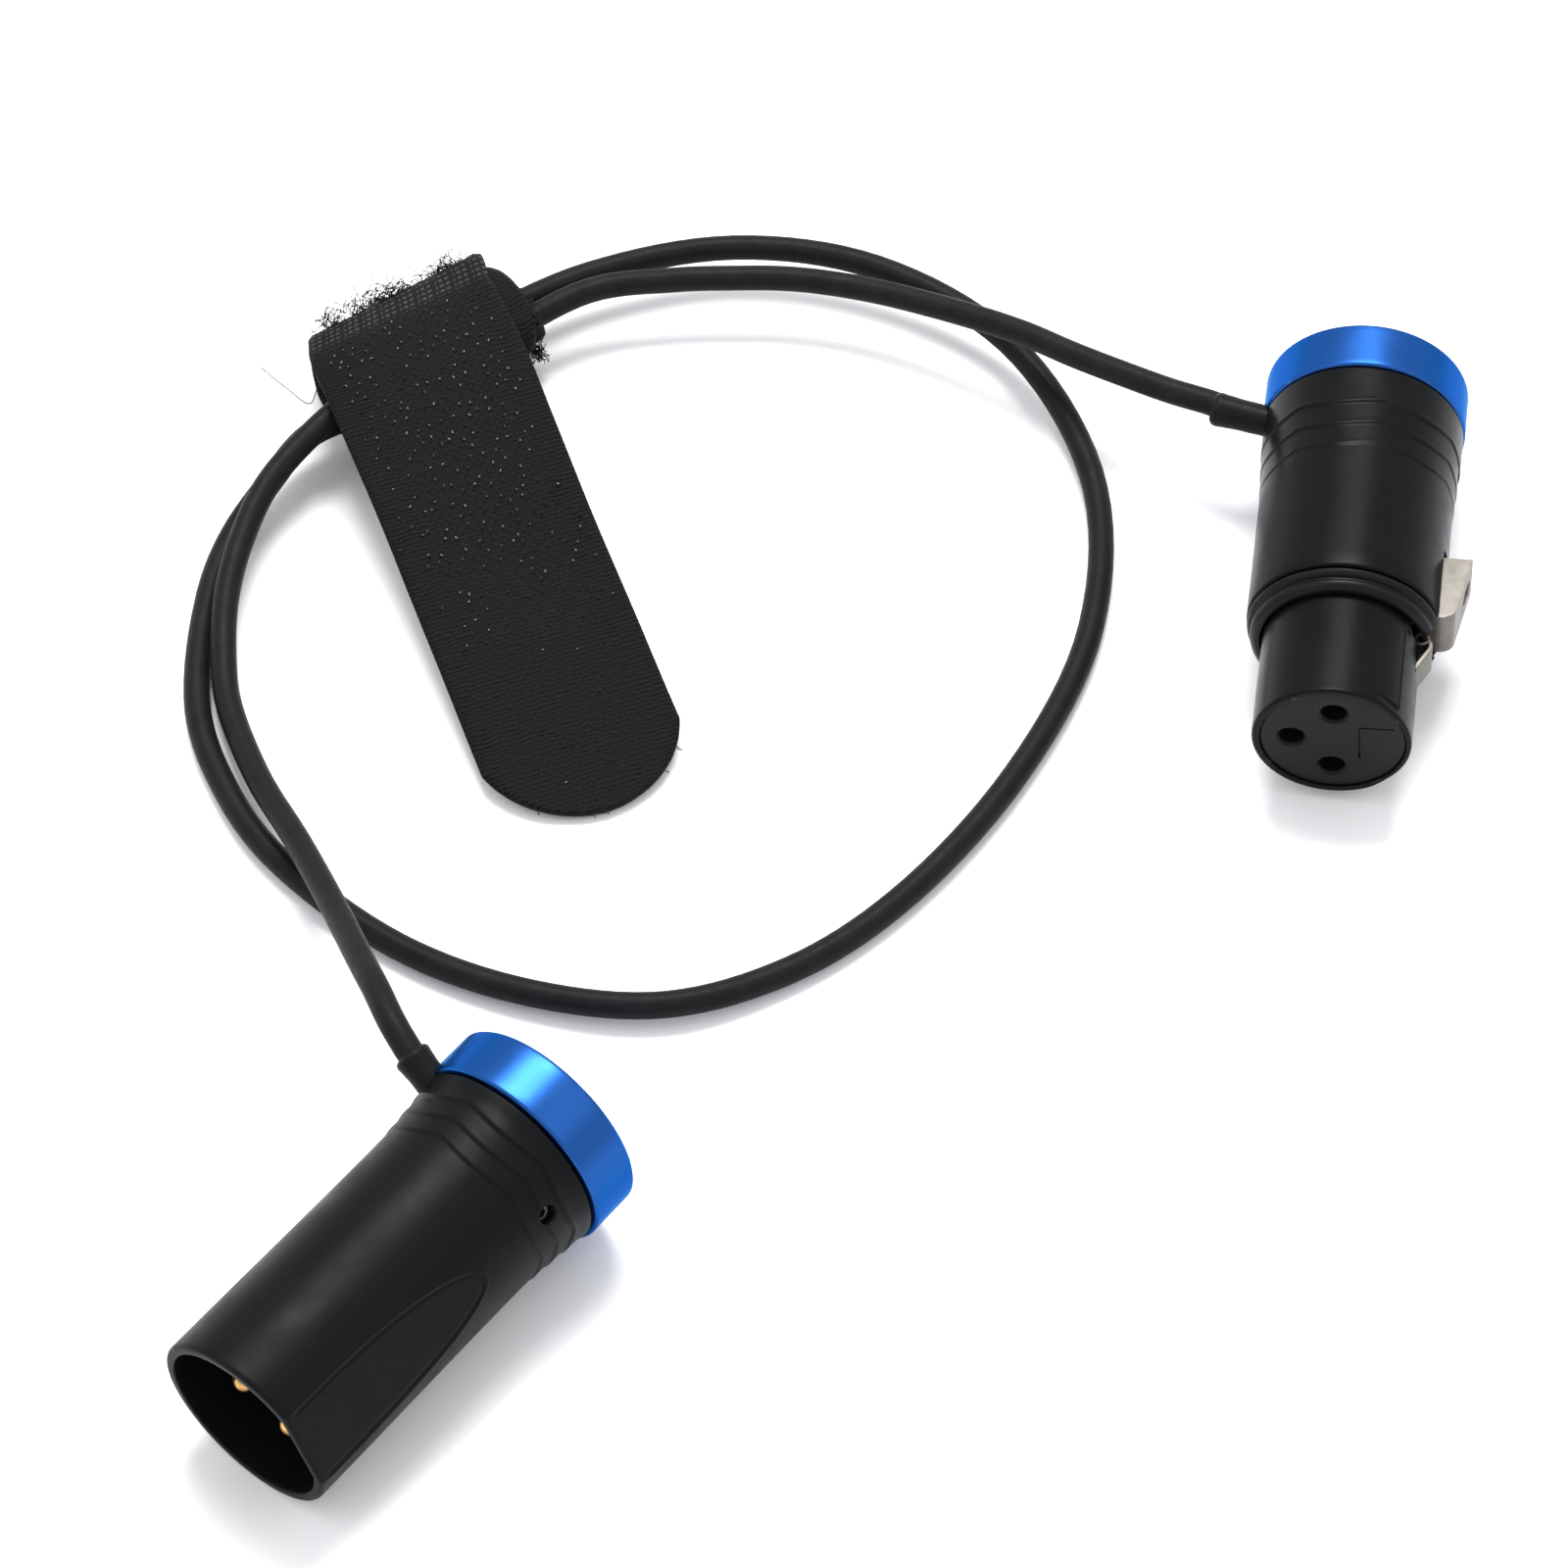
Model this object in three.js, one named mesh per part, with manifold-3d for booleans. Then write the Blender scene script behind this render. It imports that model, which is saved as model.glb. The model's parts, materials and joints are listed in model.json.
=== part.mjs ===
// A coiled microphone cable with a female and a male 3-pin connector, held by a hook-and-loop strap.
// Millimetres, +Z up, the coil lies on the plane z = 0. Both connectors are drawn in their own frame:
// the mating face is at z = 0, the shell runs back along -Z, and `a` is the distance behind that face.
import * as THREE from 'three';
import { mergeVertices } from 'three/addons/utils/BufferGeometryUtils.js';
import Module from 'manifold-3d';

const wasm = await Module();
wasm.setup();

// ---------------------------------------------------------------- driving dimensions
const GAP = 0.3;                  // running gap between neighbouring pieces
const ROUND = 36;                 // facets round a shell
const SMALL_ROUND = 16;           // facets round a pin, screw or contact

const CABLE_DIAMETER = 2.7;
const SLEEVE_DIAMETER = 3.4;
const WIRE_DIAMETER = 1.1;
const CONTACT_CIRCLE_RADIUS = 4.07;

const FEMALE = {
  face: [54.72, 39.72, 9.47],     // centre of the mating face
  heading: -59.54,                // degrees, the way the mating face looks
  tilt: 1.45,                     // degrees, nose down
  keyAngle: 3.3,                  // degrees round the axis to the latch
  exitAngle: 178,                 // degrees round the axis to the cable
  noseRadius: 8.0,
  noseWall: 0.8,
  shellFront: 14.6,
  shellRadius: 9.8,
  joint: 40.7,                    // distance from the face to the line between shell and cap
  back: 46.5,
  capRadius: 10.45,
  boreRadius: 8.7,
  screwAt: 35.2,
  sleeveOutside: 5.0,
  wireSides: [-1, 0, 1],          // order of the three wires across the sleeve's end
};

const MALE = {
  face: [24.2, -84.67, 9.38],
  heading: -90,
  tilt: 1.7,
  keyAngle: 23.5,
  exitAngle: 156,
  mouthRadius: 9.35,
  waistRadius: 9.27,
  cupRadius: 8.25,
  insertFront: 15.0,
  insertBack: 22.5,
  joint: 36.0,
  back: 41.6,
  capRadius: 10.45,
  boreRadius: 8.55,
  pinTip: 3.0,
  pinRadius: 1.2,
  flatHeight: 8.65,               // the flat over the key: height at the mouth, and its length
  flatLength: 22.6,
  screwAt: 31.6,
  sleeveOutside: 2.3,
  wireSides: [-1, 1, 0],
};

const LATCH = {
  front: 15.0,                    // distances behind the mating face
  back: 22.4,
  frontHeight: 10.9,              // height of the thumb plate over the connector's axis
  backHeight: 12.25,
  halfWidth: 2.75,
  toothAt: 11.4,
  toothHeight: 9.0,
  toothFoot: 8.6,
  toothHalfWidth: 1.8,
  pivotAt: 25.0,
  armBottom: 6.7,                 // the arm's under and upper face, as heights over the axis
  armTop: 7.8,
  toothBottom: 7.1,
  thumbHoleAt: 20.3,
  thumbHoleRadius: 1.1,
};

const STRAP = {
  width: 21.0,
  heading: -30.5,                 // degrees, the way the free tail points
  lineOffset: -5.6,               // place of the tail's centre line across its own direction
  tailStart: -49.6,               // along the tail's own direction
  tailEnd: 3.4,
  tailTopStart: 9.2,
  tailTopEnd: 1.65,
  thickness: 1.5,
  loopCentre: [-50.4, 26.8],
  loopHeading: 75,                // degrees, the way the hole for the cables runs
  loopLength: 22.0,
  loopNear: 4.3,                  // outer half-breadths either side of the cables
  loopFar: 8.4,
  loopBottom: 0.05,
  loopTop: 9.7,
  loopRounding: 3.2,
  holeLow: [-3.3, 2.0],           // the hole's corners in the loop's section, and its rounding
  holeHigh: [3.5, 8.7],
  holeRounding: 3.0,
  tipRadius: 11.0,                // the tail's end is cut to an arc
};

// The cable's middle line, from the female connector to the male one.
const CABLE_ROUTE = [
  [19.9, 68.3, 10.8], [15.0, 67.1, 10.6], [9.5, 66.3, 10.2], [3.8, 65.7, 9.7],
  [-3.3, 65.3, 9.0], [-13.1, 63.8, 7.7], [-21.2, 61.5, 7.0], [-28.0, 58.1, 6.8],
  [-33.6, 53.9, 6.7], [-37.9, 50.1, 6.7], [-44.0, 43.0, 6.8], [-48.1, 30.8, 5.6],
  [-50.4, 23.9, 4.4], [-52.8, 17.1, 3.9], [-54.9, 10.0, 4.2], [-54.3, 3.3, 3.2],
  [-53.2, -3.6, 1.9], [-49.8, -10.9, 1.5], [-40.2, -22.9, 1.45], [-31.1, -28.6, 1.45],
  [-21.7, -31.8, 1.45], [-4.5, -32.5, 1.45], [9.6, -28.8, 1.9], [20.6, -21.9, 2.2],
  [27.0, -10.8, 1.6], [29.9, 2.2, 1.45], [29.3, 22.1, 1.45], [23.6, 42.5, 1.45],
  [11.0, 59.4, 1.8], [-6.1, 67.4, 3.9], [-23.2, 66.3, 5.2], [-37.0, 59.0, 5.2],
  [-46.7, 46.0, 5.2], [-51.1, 31.4, 5.8], [-52.4, 24.3, 6.6], [-53.0, 17.1, 6.9],
  [-53.3, 9.9, 6.6], [-52.7, 1.8, 5.7], [-50.5, -4.6, 4.7], [-46.8, -11.3, 3.5],
  [-41.5, -17.5, 2.4], [-37.8, -20.8, 2.2], [-28.6, -26.4, 3.2], [-18.6, -31.2, 5.6],
  [-8.3, -36.9, 9.4], [0.8, -42.5, 14.0], [5.2, -45.1, 16.0], [9.2, -47.3, 16.6],
  [12.4, -48.4, 15.7],
];
const CABLE_STEPS = 80;

// ---------------------------------------------------------------- materials
function finish(colour, roughness, metalness) {
  return () => new THREE.MeshStandardMaterial({ color: colour, roughness, metalness });
}
const BLACK_SHELL = finish(0x232528, 0.42, 0.35);
const BLUE_CAP = finish(0x1e5ad2, 0.3, 0.85);
const BLACK_PLASTIC = finish(0x1c1d1f, 0.6, 0);
const BLACK_RUBBER = finish(0x26282a, 0.75, 0);
const CABLE_JACKET = finish(0x2d3032, 0.55, 0);
const NICKEL = finish(0xcfc9bd, 0.25, 1);
const GOLD = finish(0xd9a441, 0.25, 1);
const STEEL = finish(0x6f7378, 0.35, 1);
const WIRE_SKIN = finish(0xb8b8b4, 0.5, 0);
const STRAP_FABRIC = finish(0x1b1c1e, 0.95, 0);

// ---------------------------------------------------------------- solids
function toSolid(geometry) {
  const bare = geometry.clone();
  bare.deleteAttribute('normal');
  bare.deleteAttribute('uv');
  const merged = mergeVertices(bare, 1e-4);
  const place = merged.attributes.position.array;
  const corners = Array.from(merged.index.array);
  const faces = [];
  let volume = 0;
  for (let i = 0; i < corners.length; i += 3) {
    const [p, q, r] = corners.slice(i, i + 3);
    if (p === q || q === r || r === p) {
      continue;
    }
    faces.push([p, q, r]);
    const [a, b, c] = [p, q, r].map((n) => new THREE.Vector3().fromArray(place, 3 * n));
    volume += a.dot(b.cross(c));
  }
  const outward = volume > 0 ? faces : faces.map((face) => face.reverse());
  const mesh = new wasm.Mesh({
    numProp: 3,
    vertProperties: Float32Array.from(place),
    triVerts: Uint32Array.from(outward.flat()),
  });
  return new wasm.Manifold(mesh);
}

function toGeometry(solid) {
  const mesh = solid.getMesh();
  const geometry = new THREE.BufferGeometry();
  geometry.setAttribute('position', new THREE.BufferAttribute(mesh.vertProperties, 3));
  geometry.setIndex(new THREE.BufferAttribute(mesh.triVerts, 1));
  geometry.computeVertexNormals();
  return geometry;
}

function addPiece(group, name, solid, material) {
  const mesh = new THREE.Mesh(toGeometry(solid), material());
  mesh.name = name;
  group.add(mesh);
}

// A turned piece about the connector's axis; each corner is [distance behind the face, radius].
function turned(corners, facets = ROUND) {
  const points = corners.map(([a, r]) => new THREE.Vector2(r, -a));
  if (corners[0][1] > 0) {
    points.push(points[0].clone());
  }
  const geometry = new THREE.LatheGeometry(points, facets);
  geometry.rotateX(Math.PI / 2);
  return toSolid(geometry);
}

function box(low, high) {
  const size = high.map((value, i) => value - low[i]);
  const geometry = new THREE.BoxGeometry(...size);
  geometry.translate(...low.map((value, i) => value + size[i] / 2));
  return toSolid(geometry);
}

// A rod between two points.
function rod(start, end, radius, facets = SMALL_ROUND) {
  const geometry = new THREE.CylinderGeometry(radius, radius, start.distanceTo(end), facets);
  const along = end.clone().sub(start).normalize();
  const turn = new THREE.Quaternion().setFromUnitVectors(new THREE.Vector3(0, 1, 0), along);
  geometry.applyQuaternion(turn);
  const middle = start.clone().add(end).multiplyScalar(0.5);
  geometry.translate(middle.x, middle.y, middle.z);
  return toSolid(geometry);
}

// A tube along a smooth curve through the points.
function tube(points, diameter, sides, steps) {
  const outline = new THREE.Shape();
  for (let i = 0; i < sides; i += 1) {
    const angle = (2 * Math.PI * i) / sides;
    const x = (diameter / 2) * Math.cos(angle);
    const y = (diameter / 2) * Math.sin(angle);
    if (i === 0) {
      outline.moveTo(x, y);
    } else {
      outline.lineTo(x, y);
    }
  }
  outline.closePath();
  const extrudePath = new THREE.CatmullRomCurve3(points, false, 'centripetal');
  return toSolid(new THREE.ExtrudeGeometry(outline, { steps, extrudePath, bevelEnabled: false }));
}

// A flat outline of [x, y] corners, extruded along +Z.
function slab(corners, thickness) {
  const outline = new THREE.Shape(corners.map(([x, y]) => new THREE.Vector2(x, y)));
  return new THREE.ExtrudeGeometry(outline, { depth: thickness, bevelEnabled: false });
}

// ---------------------------------------------------------------- places inside a connector
function radians(degrees) {
  return THREE.MathUtils.degToRad(degrees);
}

function around(angle, radius, a) {
  const turn = radians(angle);
  return new THREE.Vector3(radius * Math.cos(turn), radius * Math.sin(turn), -a);
}

// Builds a group with the mating face at `face`, looking along the heading and tilted nose down.
function connectorGroup({ face, heading, tilt }) {
  const level = Math.cos(radians(tilt));
  const forward = new THREE.Vector3(
    level * Math.cos(radians(heading)), level * Math.sin(radians(heading)), -Math.sin(radians(tilt)));
  const across = new THREE.Vector3(-forward.y, forward.x, 0).normalize();
  const upward = forward.clone().cross(across);
  const group = new THREE.Group();
  group.quaternion.setFromRotationMatrix(new THREE.Matrix4().makeBasis(across, upward, forward));
  group.position.set(...face);
  return group;
}

// The cable leaves through the line between shell and cap and leans a little to the back.
const EXIT_LEAN = 0.15;           // run to the back for each unit outwards
const SLEEVE_INSIDE = 4.5;
const NOTCH_RADIUS = SLEEVE_DIAMETER / 2 + GAP;

function exitPath(connector) {
  const centre = around(connector.exitAngle, connector.capRadius - 0.15, connector.joint);
  const along = around(connector.exitAngle, 1, EXIT_LEAN).normalize();
  const at = (distance) => centre.clone().addScaledVector(along, distance);
  return {
    inner: at(-SLEEVE_INSIDE),
    outer: at(connector.sleeveOutside),
    notch: rod(at(-SLEEVE_INSIDE), at(connector.sleeveOutside), NOTCH_RADIUS, 24),
    at,
  };
}

// ---------------------------------------------------------------- pieces that both connectors have
const SCREW_RADIUS = 0.85;
const SKIRT_LENGTH = 6.8;
const SKIRT_WALL = 1.2;

function screwHole(connector) {
  const radius = SCREW_RADIUS + GAP;
  const { keyAngle, screwAt } = connector;
  return rod(around(keyAngle, 6, screwAt), around(keyAngle, 12, screwAt), radius);
}

function capSolid(connector) {
  const front = connector.joint + GAP / 2;
  const outer = connector.capRadius;
  const skirt = connector.boreRadius - GAP;
  const cap = turned([
    [front + 1.6, 0], [front + 1.6, skirt - SKIRT_WALL], [front - SKIRT_LENGTH, skirt - SKIRT_WALL],
    [front - SKIRT_LENGTH, skirt], [front, skirt], [front, outer - 0.2], [front + 0.2, outer],
    [connector.back - 0.3, outer], [connector.back, outer - 0.3], [connector.back, 0],
  ]);
  return cap.subtract(exitPath(connector).notch).subtract(screwHole(connector));
}

function setScrewSolid(connector, seat) {
  const { keyAngle, screwAt } = connector;
  const screw = rod(around(keyAngle, 7.3, screwAt), around(keyAngle, seat, screwAt), SCREW_RADIUS);
  const socket = rod(around(keyAngle, seat - 1, screwAt), around(keyAngle, seat + 1, screwAt), 0.5, 6);
  return screw.subtract(socket);
}

function sleeveSolid(connector) {
  const { inner, outer } = exitPath(connector);
  return rod(inner, outer, SLEEVE_DIAMETER / 2);
}

// One of the three inner wires, from the sleeve's inner end to a solder cup.
function wireSolid(connector, cupAngle, cupBack, index) {
  const spread = connector.wireSides[index] * (WIRE_DIAMETER + GAP);
  const start = exitPath(connector).at(-SLEEVE_INSIDE - GAP);
  const side = around(connector.exitAngle + 90, spread, 0);
  const cup = around(cupAngle, CONTACT_CIRCLE_RADIUS, cupBack + GAP);
  const beforeCup = around(cupAngle, CONTACT_CIRCLE_RADIUS, cupBack + 4);
  const bend = around(connector.exitAngle, 4.2, connector.joint - 2.5).add(side);
  return tube([start.add(side), bend, beforeCup, cup], WIRE_DIAMETER, 6, 12);
}

// ---------------------------------------------------------------- female connector
const FEMALE_CUP_BACK = 25.0;
const CONTACT_RADIUS = 1.15;
const CONTACT_FRONT = 2.4;        // the contacts stand back from the mating face
const CUP_RADIUS = 0.7;           // bore of a solder cup
const CUP_DEPTH = 3.0;

// A slot towards the latch, as wide as the latch and its gap.
function latchSlot(fromA, toA, fromHeight, halfWidth) {
  const solid = box([fromHeight, -halfWidth, -toA], [14, halfWidth, -fromA]);
  return solid.rotate([0, 0, FEMALE.keyAngle]);
}

function femaleHousing() {
  const { shellFront, shellRadius, boreRadius, joint, noseRadius } = FEMALE;
  const end = joint - GAP / 2;
  const lip = noseRadius + GAP;
  const shell = turned([
    [shellFront, lip], [shellFront, shellRadius - 0.4], [shellFront + 0.4, shellRadius],
    [32.9, shellRadius + 0.05], [33.1, shellRadius + 0.2], [35.9, shellRadius + 0.3],
    [36.1, shellRadius + 0.4], [38.5, shellRadius + 0.5], [end - 0.3, shellRadius + 0.5],
    [end, shellRadius + 0.3], [end, boreRadius], [shellFront + 1.6, boreRadius], [shellFront + 1.6, lip],
  ]);
  return shell
    .subtract(latchSlot(shellFront - 1, LATCH.back + 0.8, 6, LATCH.halfWidth + GAP))
    .subtract(exitPath(FEMALE).notch)
    .subtract(screwHole(FEMALE));
}

function femaleNose() {
  const { noseRadius, noseWall, shellFront } = FEMALE;
  const inner = noseRadius - noseWall;
  const nose = turned([
    [0, inner], [0, noseRadius - 0.5], [0.15, noseRadius - 0.15], [0.5, noseRadius],
    [shellFront + 3.4, noseRadius], [shellFront + 3.4, inner],
  ]);
  return nose
    .subtract(latchSlot(LATCH.toothFoot - 0.6, 12.6, 5, LATCH.toothHalfWidth + GAP))
    .subtract(latchSlot(12.4, 20, 5, LATCH.halfWidth + GAP));
}

function femaleInsert() {
  const radius = FEMALE.noseRadius - FEMALE.noseWall - GAP;
  const back = 20.0;
  let insert = turned([[0.25, 0], [0.25, radius - 0.2], [0.45, radius], [back, radius], [back, 0]]);
  insert = insert.subtract(latchSlot(LATCH.toothFoot - 0.7, back + 1, 4.9, LATCH.halfWidth + GAP));
  for (const angle of contactAngles(FEMALE)) {
    const front = around(angle, CONTACT_CIRCLE_RADIUS, -1);
    const behind = around(angle, CONTACT_CIRCLE_RADIUS, back + 1);
    insert = insert.subtract(rod(front, behind, CONTACT_RADIUS + GAP));
  }
  return insert;
}

function shoulderRing() {
  const inner = FEMALE.noseRadius + GAP;
  const back = FEMALE.shellFront - GAP;
  const ring = turned([[12.2, inner], [12.2, 8.8], [12.5, 9.2], [13.2, 9.5], [back, 9.7], [back, inner]]);
  return ring.subtract(latchSlot(11, back + 1, 6, LATCH.halfWidth + GAP));
}

function contactAngles(connector) {
  return [90, 180, 270].map((step) => connector.keyAngle + step);
}

function femaleContact(angle) {
  const socketRadius = 0.8;
  const socketEnd = 14.0;
  const cupFloor = FEMALE_CUP_BACK - CUP_DEPTH;
  const contact = turned([
    [socketEnd, 0], [socketEnd, socketRadius], [CONTACT_FRONT, socketRadius],
    [CONTACT_FRONT, CONTACT_RADIUS - 0.15], [CONTACT_FRONT + 0.2, CONTACT_RADIUS],
    [FEMALE_CUP_BACK, CONTACT_RADIUS], [FEMALE_CUP_BACK, CUP_RADIUS], [cupFloor, CUP_RADIUS], [cupFloor, 0],
  ], SMALL_ROUND);
  return contact.translate(around(angle, CONTACT_CIRCLE_RADIUS, 0).toArray());
}

// The latch: a thumb plate over the shell, a tooth on the nose and an arm to the pivot under the shell.
function latchSolid() {
  const { front, back, frontHeight, backHeight, halfWidth, toothAt, toothHeight, toothFoot } = LATCH;
  const { armBottom, armTop, toothBottom } = LATCH;
  const armEnd = LATCH.pivotAt + 0.6;
  const side = [
    [toothFoot, toothBottom + 0.45], [toothAt, toothHeight], [toothAt + 0.5, toothHeight],
    [toothAt + 0.7, armTop + 0.1], [front, armTop + 0.1], [front, frontHeight - 0.4],
    [front + 0.4, frontHeight], [back, backHeight], [back, armTop], [armEnd, armTop],
    [armEnd, armBottom], [back, armBottom], [18, toothBottom], [toothFoot, toothBottom],
  ];
  const blank = slab(side.map(([a, height]) => [height, a]), 2 * halfWidth);
  blank.translate(0, 0, -halfWidth);
  blank.rotateX(-Math.PI / 2);
  const body = toSolid(blank);
  const besideTooth = [-1, 1].map((sign) => {
    const edges = [sign * LATCH.toothHalfWidth, sign * (halfWidth + 1)].sort((p, q) => p - q);
    return box([5, edges[0], -(toothAt + 1.3)], [14, edges[1], -(toothFoot - 1)]);
  });
  const holeBottom = new THREE.Vector3(frontHeight - 0.4, 0, -LATCH.thumbHoleAt);
  const holeTop = new THREE.Vector3(backHeight + 1.75, 0, -LATCH.thumbHoleAt);
  const thumbHole = rod(holeBottom, holeTop, LATCH.thumbHoleRadius);
  return body.subtract(besideTooth[0]).subtract(besideTooth[1]).subtract(thumbHole)
    .rotate([0, 0, FEMALE.keyAngle]);
}

// The leaf under the latch arm that pushes it out; it stands clear of the arm's travel.
function latchSpring() {
  const width = 3;
  const leaf = slab([[5.2, 19.4], [5.5, 19.4], [6.0, 14.6], [5.7, 14.6]], width);
  leaf.translate(0, 0, -width / 2);
  leaf.rotateX(-Math.PI / 2);
  return toSolid(leaf).rotate([0, 0, FEMALE.keyAngle]);
}

function femaleConnector() {
  const group = connectorGroup(FEMALE);
  addPiece(group, 'female_housing', femaleHousing(), BLACK_SHELL);
  addPiece(group, 'female_nose', femaleNose(), BLACK_SHELL);
  addPiece(group, 'female_shoulder_ring', shoulderRing(), BLACK_RUBBER);
  addPiece(group, 'female_insert', femaleInsert(), BLACK_PLASTIC);
  addPiece(group, 'female_cap', capSolid(FEMALE), BLUE_CAP);
  addPiece(group, 'female_set_screw', setScrewSolid(FEMALE, 9.7), STEEL);
  addPiece(group, 'female_sleeve', sleeveSolid(FEMALE), BLACK_RUBBER);
  addPiece(group, 'latch', latchSolid(), NICKEL);
  addPiece(group, 'latch_spring', latchSpring(), STEEL);
  contactAngles(FEMALE).forEach((angle, i) => {
    addPiece(group, `female_contact_${i + 1}`, femaleContact(angle), GOLD);
    addPiece(group, `female_wire_${i + 1}`, wireSolid(FEMALE, angle, FEMALE_CUP_BACK, i), WIRE_SKIN);
  });
  return group;
}

// ---------------------------------------------------------------- male connector
const MALE_CUP_BACK = 26.5;

function maleHousing() {
  const { mouthRadius, waistRadius, cupRadius, boreRadius, joint, insertBack } = MALE;
  const end = joint - GAP / 2;
  const shell = turned([
    [0, cupRadius + 0.2], [0, mouthRadius - 0.35], [0.35, mouthRadius], [5, mouthRadius],
    [20, waistRadius], [28, waistRadius], [29, 9.4], [31, 9.5], [32.5, 9.62], [34, 9.8],
    [end - 0.3, 10.15], [end, 9.95], [end, boreRadius], [insertBack + 0.5, boreRadius],
    [insertBack + 0.5, cupRadius], [0.6, cupRadius],
  ]);
  return shell.subtract(keyFlat()).subtract(exitPath(MALE).notch).subtract(screwHole(MALE));
}

// A shallow slanting flat over the key, deepest at the mouth.
function keyFlat() {
  const slope = Math.atan2(MALE.waistRadius - MALE.flatHeight, MALE.flatLength);
  const depth = 4;
  const geometry = new THREE.BoxGeometry(depth, 2 * MALE.capRadius, 60);
  geometry.translate(depth / 2, 0, 0);
  geometry.rotateY(-slope);
  geometry.translate(MALE.flatHeight, 0, 0);
  geometry.rotateZ(radians(MALE.keyAngle));
  return toSolid(geometry);
}

function maleInsert() {
  const radius = MALE.cupRadius - GAP;
  let insert = turned([[MALE.insertFront, 0], [MALE.insertFront, radius], [MALE.insertBack, radius],
    [MALE.insertBack, 0]]);
  for (const angle of contactAngles(MALE)) {
    const front = around(angle, CONTACT_CIRCLE_RADIUS, MALE.insertFront - 5);
    const behind = around(angle, CONTACT_CIRCLE_RADIUS, MALE.insertBack + 5);
    insert = insert.subtract(rod(front, behind, MALE.pinRadius + GAP));
  }
  return insert;
}

function malePin(angle) {
  const { pinTip, pinRadius } = MALE;
  const cupFloor = MALE_CUP_BACK - CUP_DEPTH;
  const pin = turned([
    [pinTip, 0], [pinTip, 0.5], [pinTip + 0.3, 0.9], [pinTip + 0.9, pinRadius], [MALE_CUP_BACK, pinRadius],
    [MALE_CUP_BACK, CUP_RADIUS], [cupFloor, CUP_RADIUS], [cupFloor, 0],
  ], SMALL_ROUND);
  return pin.translate(around(angle, CONTACT_CIRCLE_RADIUS, 0).toArray());
}

function maleConnector() {
  const group = connectorGroup(MALE);
  addPiece(group, 'male_housing', maleHousing(), BLACK_SHELL);
  addPiece(group, 'male_insert', maleInsert(), BLACK_PLASTIC);
  addPiece(group, 'male_cap', capSolid(MALE), BLUE_CAP);
  addPiece(group, 'male_set_screw', setScrewSolid(MALE, 9.3), STEEL);
  addPiece(group, 'male_sleeve', sleeveSolid(MALE), BLACK_RUBBER);
  contactAngles(MALE).forEach((angle, i) => {
    addPiece(group, `male_pin_${i + 1}`, malePin(angle), GOLD);
    addPiece(group, `male_wire_${i + 1}`, wireSolid(MALE, angle, MALE_CUP_BACK, i), WIRE_SKIN);
  });
  return group;
}

// ---------------------------------------------------------------- cable and strap
function cable() {
  const points = CABLE_ROUTE.map((point) => new THREE.Vector3(...point));
  return tube(points, CABLE_DIAMETER, 8, CABLE_STEPS);
}

// A rounded rectangle in the XY plane, walked anticlockwise.
function roundedRectangle(low, high, radius) {
  const shape = new THREE.Shape();
  const centres = [
    [high[0] - radius, low[1] + radius, -90], [high[0] - radius, high[1] - radius, 0],
    [low[0] + radius, high[1] - radius, 90], [low[0] + radius, low[1] + radius, 180],
  ];
  for (const [x, y, start] of centres) {
    shape.absarc(x, y, radius, radians(start), radians(start + 90), false);
  }
  return shape;
}

// The strap's turns round the two strands. In the section, x runs away from the tail and y is up.
function strapLoop() {
  const { loopNear, loopFar, loopBottom, loopTop, loopLength, loopHeading, loopCentre } = STRAP;
  const section = roundedRectangle([-loopNear, loopBottom], [loopFar, loopTop], STRAP.loopRounding);
  section.holes.push(roundedRectangle(STRAP.holeLow, STRAP.holeHigh, STRAP.holeRounding));
  const options = { depth: loopLength, bevelEnabled: false, curveSegments: 5 };
  const geometry = new THREE.ExtrudeGeometry(section, options);
  geometry.translate(0, 0, -loopLength / 2);
  const along = new THREE.Vector3(Math.cos(radians(loopHeading)), Math.sin(radians(loopHeading)), 0);
  const away = new THREE.Vector3(-along.y, along.x, 0);
  const upward = new THREE.Vector3(0, 0, 1);
  const frame = new THREE.Matrix4().makeBasis(away, upward, along.clone().negate());
  geometry.applyMatrix4(frame.setPosition(loopCentre[0], loopCentre[1], 0));
  return toSolid(geometry);
}

// The free tail: a flat strip with a rounded end, sloping from the turns down to the table.
function strapTail() {
  const { width, heading, lineOffset, tailStart, tailEnd, tailTopStart, tailTopEnd, thickness } = STRAP;
  const half = width / 2;
  const arcEnd = Math.asin(half / STRAP.tipRadius);
  const outline = new THREE.Shape();
  outline.moveTo(tailStart, -half);
  outline.absarc(tailEnd - STRAP.tipRadius, 0, STRAP.tipRadius, -arcEnd, arcEnd, false);
  outline.lineTo(tailStart, half);
  outline.closePath();
  const options = { depth: thickness, bevelEnabled: false, curveSegments: 14 };
  const geometry = new THREE.ExtrudeGeometry(outline, options);
  geometry.translate(-tailStart, lineOffset, -thickness);
  geometry.rotateY(Math.atan2(tailTopStart - tailTopEnd, tailEnd - tailStart));
  geometry.translate(tailStart, 0, tailTopStart);
  geometry.rotateZ(radians(heading));
  return toSolid(geometry);
}

const coil = new THREE.Group();
coil.add(femaleConnector());
coil.add(maleConnector());
addPiece(coil, 'cable', cable(), CABLE_JACKET);
addPiece(coil, 'strap_loop', strapLoop(), STRAP_FABRIC);
addPiece(coil, 'strap_tail', strapTail(), STRAP_FABRIC);

export default coil;
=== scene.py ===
# A coiled microphone cable with low-profile connectors and a hook-and-loop strap, on a pale floor.
import json
import random
from math import atan2, ceil, copysign, cos, degrees, dist, exp, pi, radians, sin, sqrt

import bmesh
import bpy
from mathutils import Matrix, Quaternion, Vector


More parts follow.
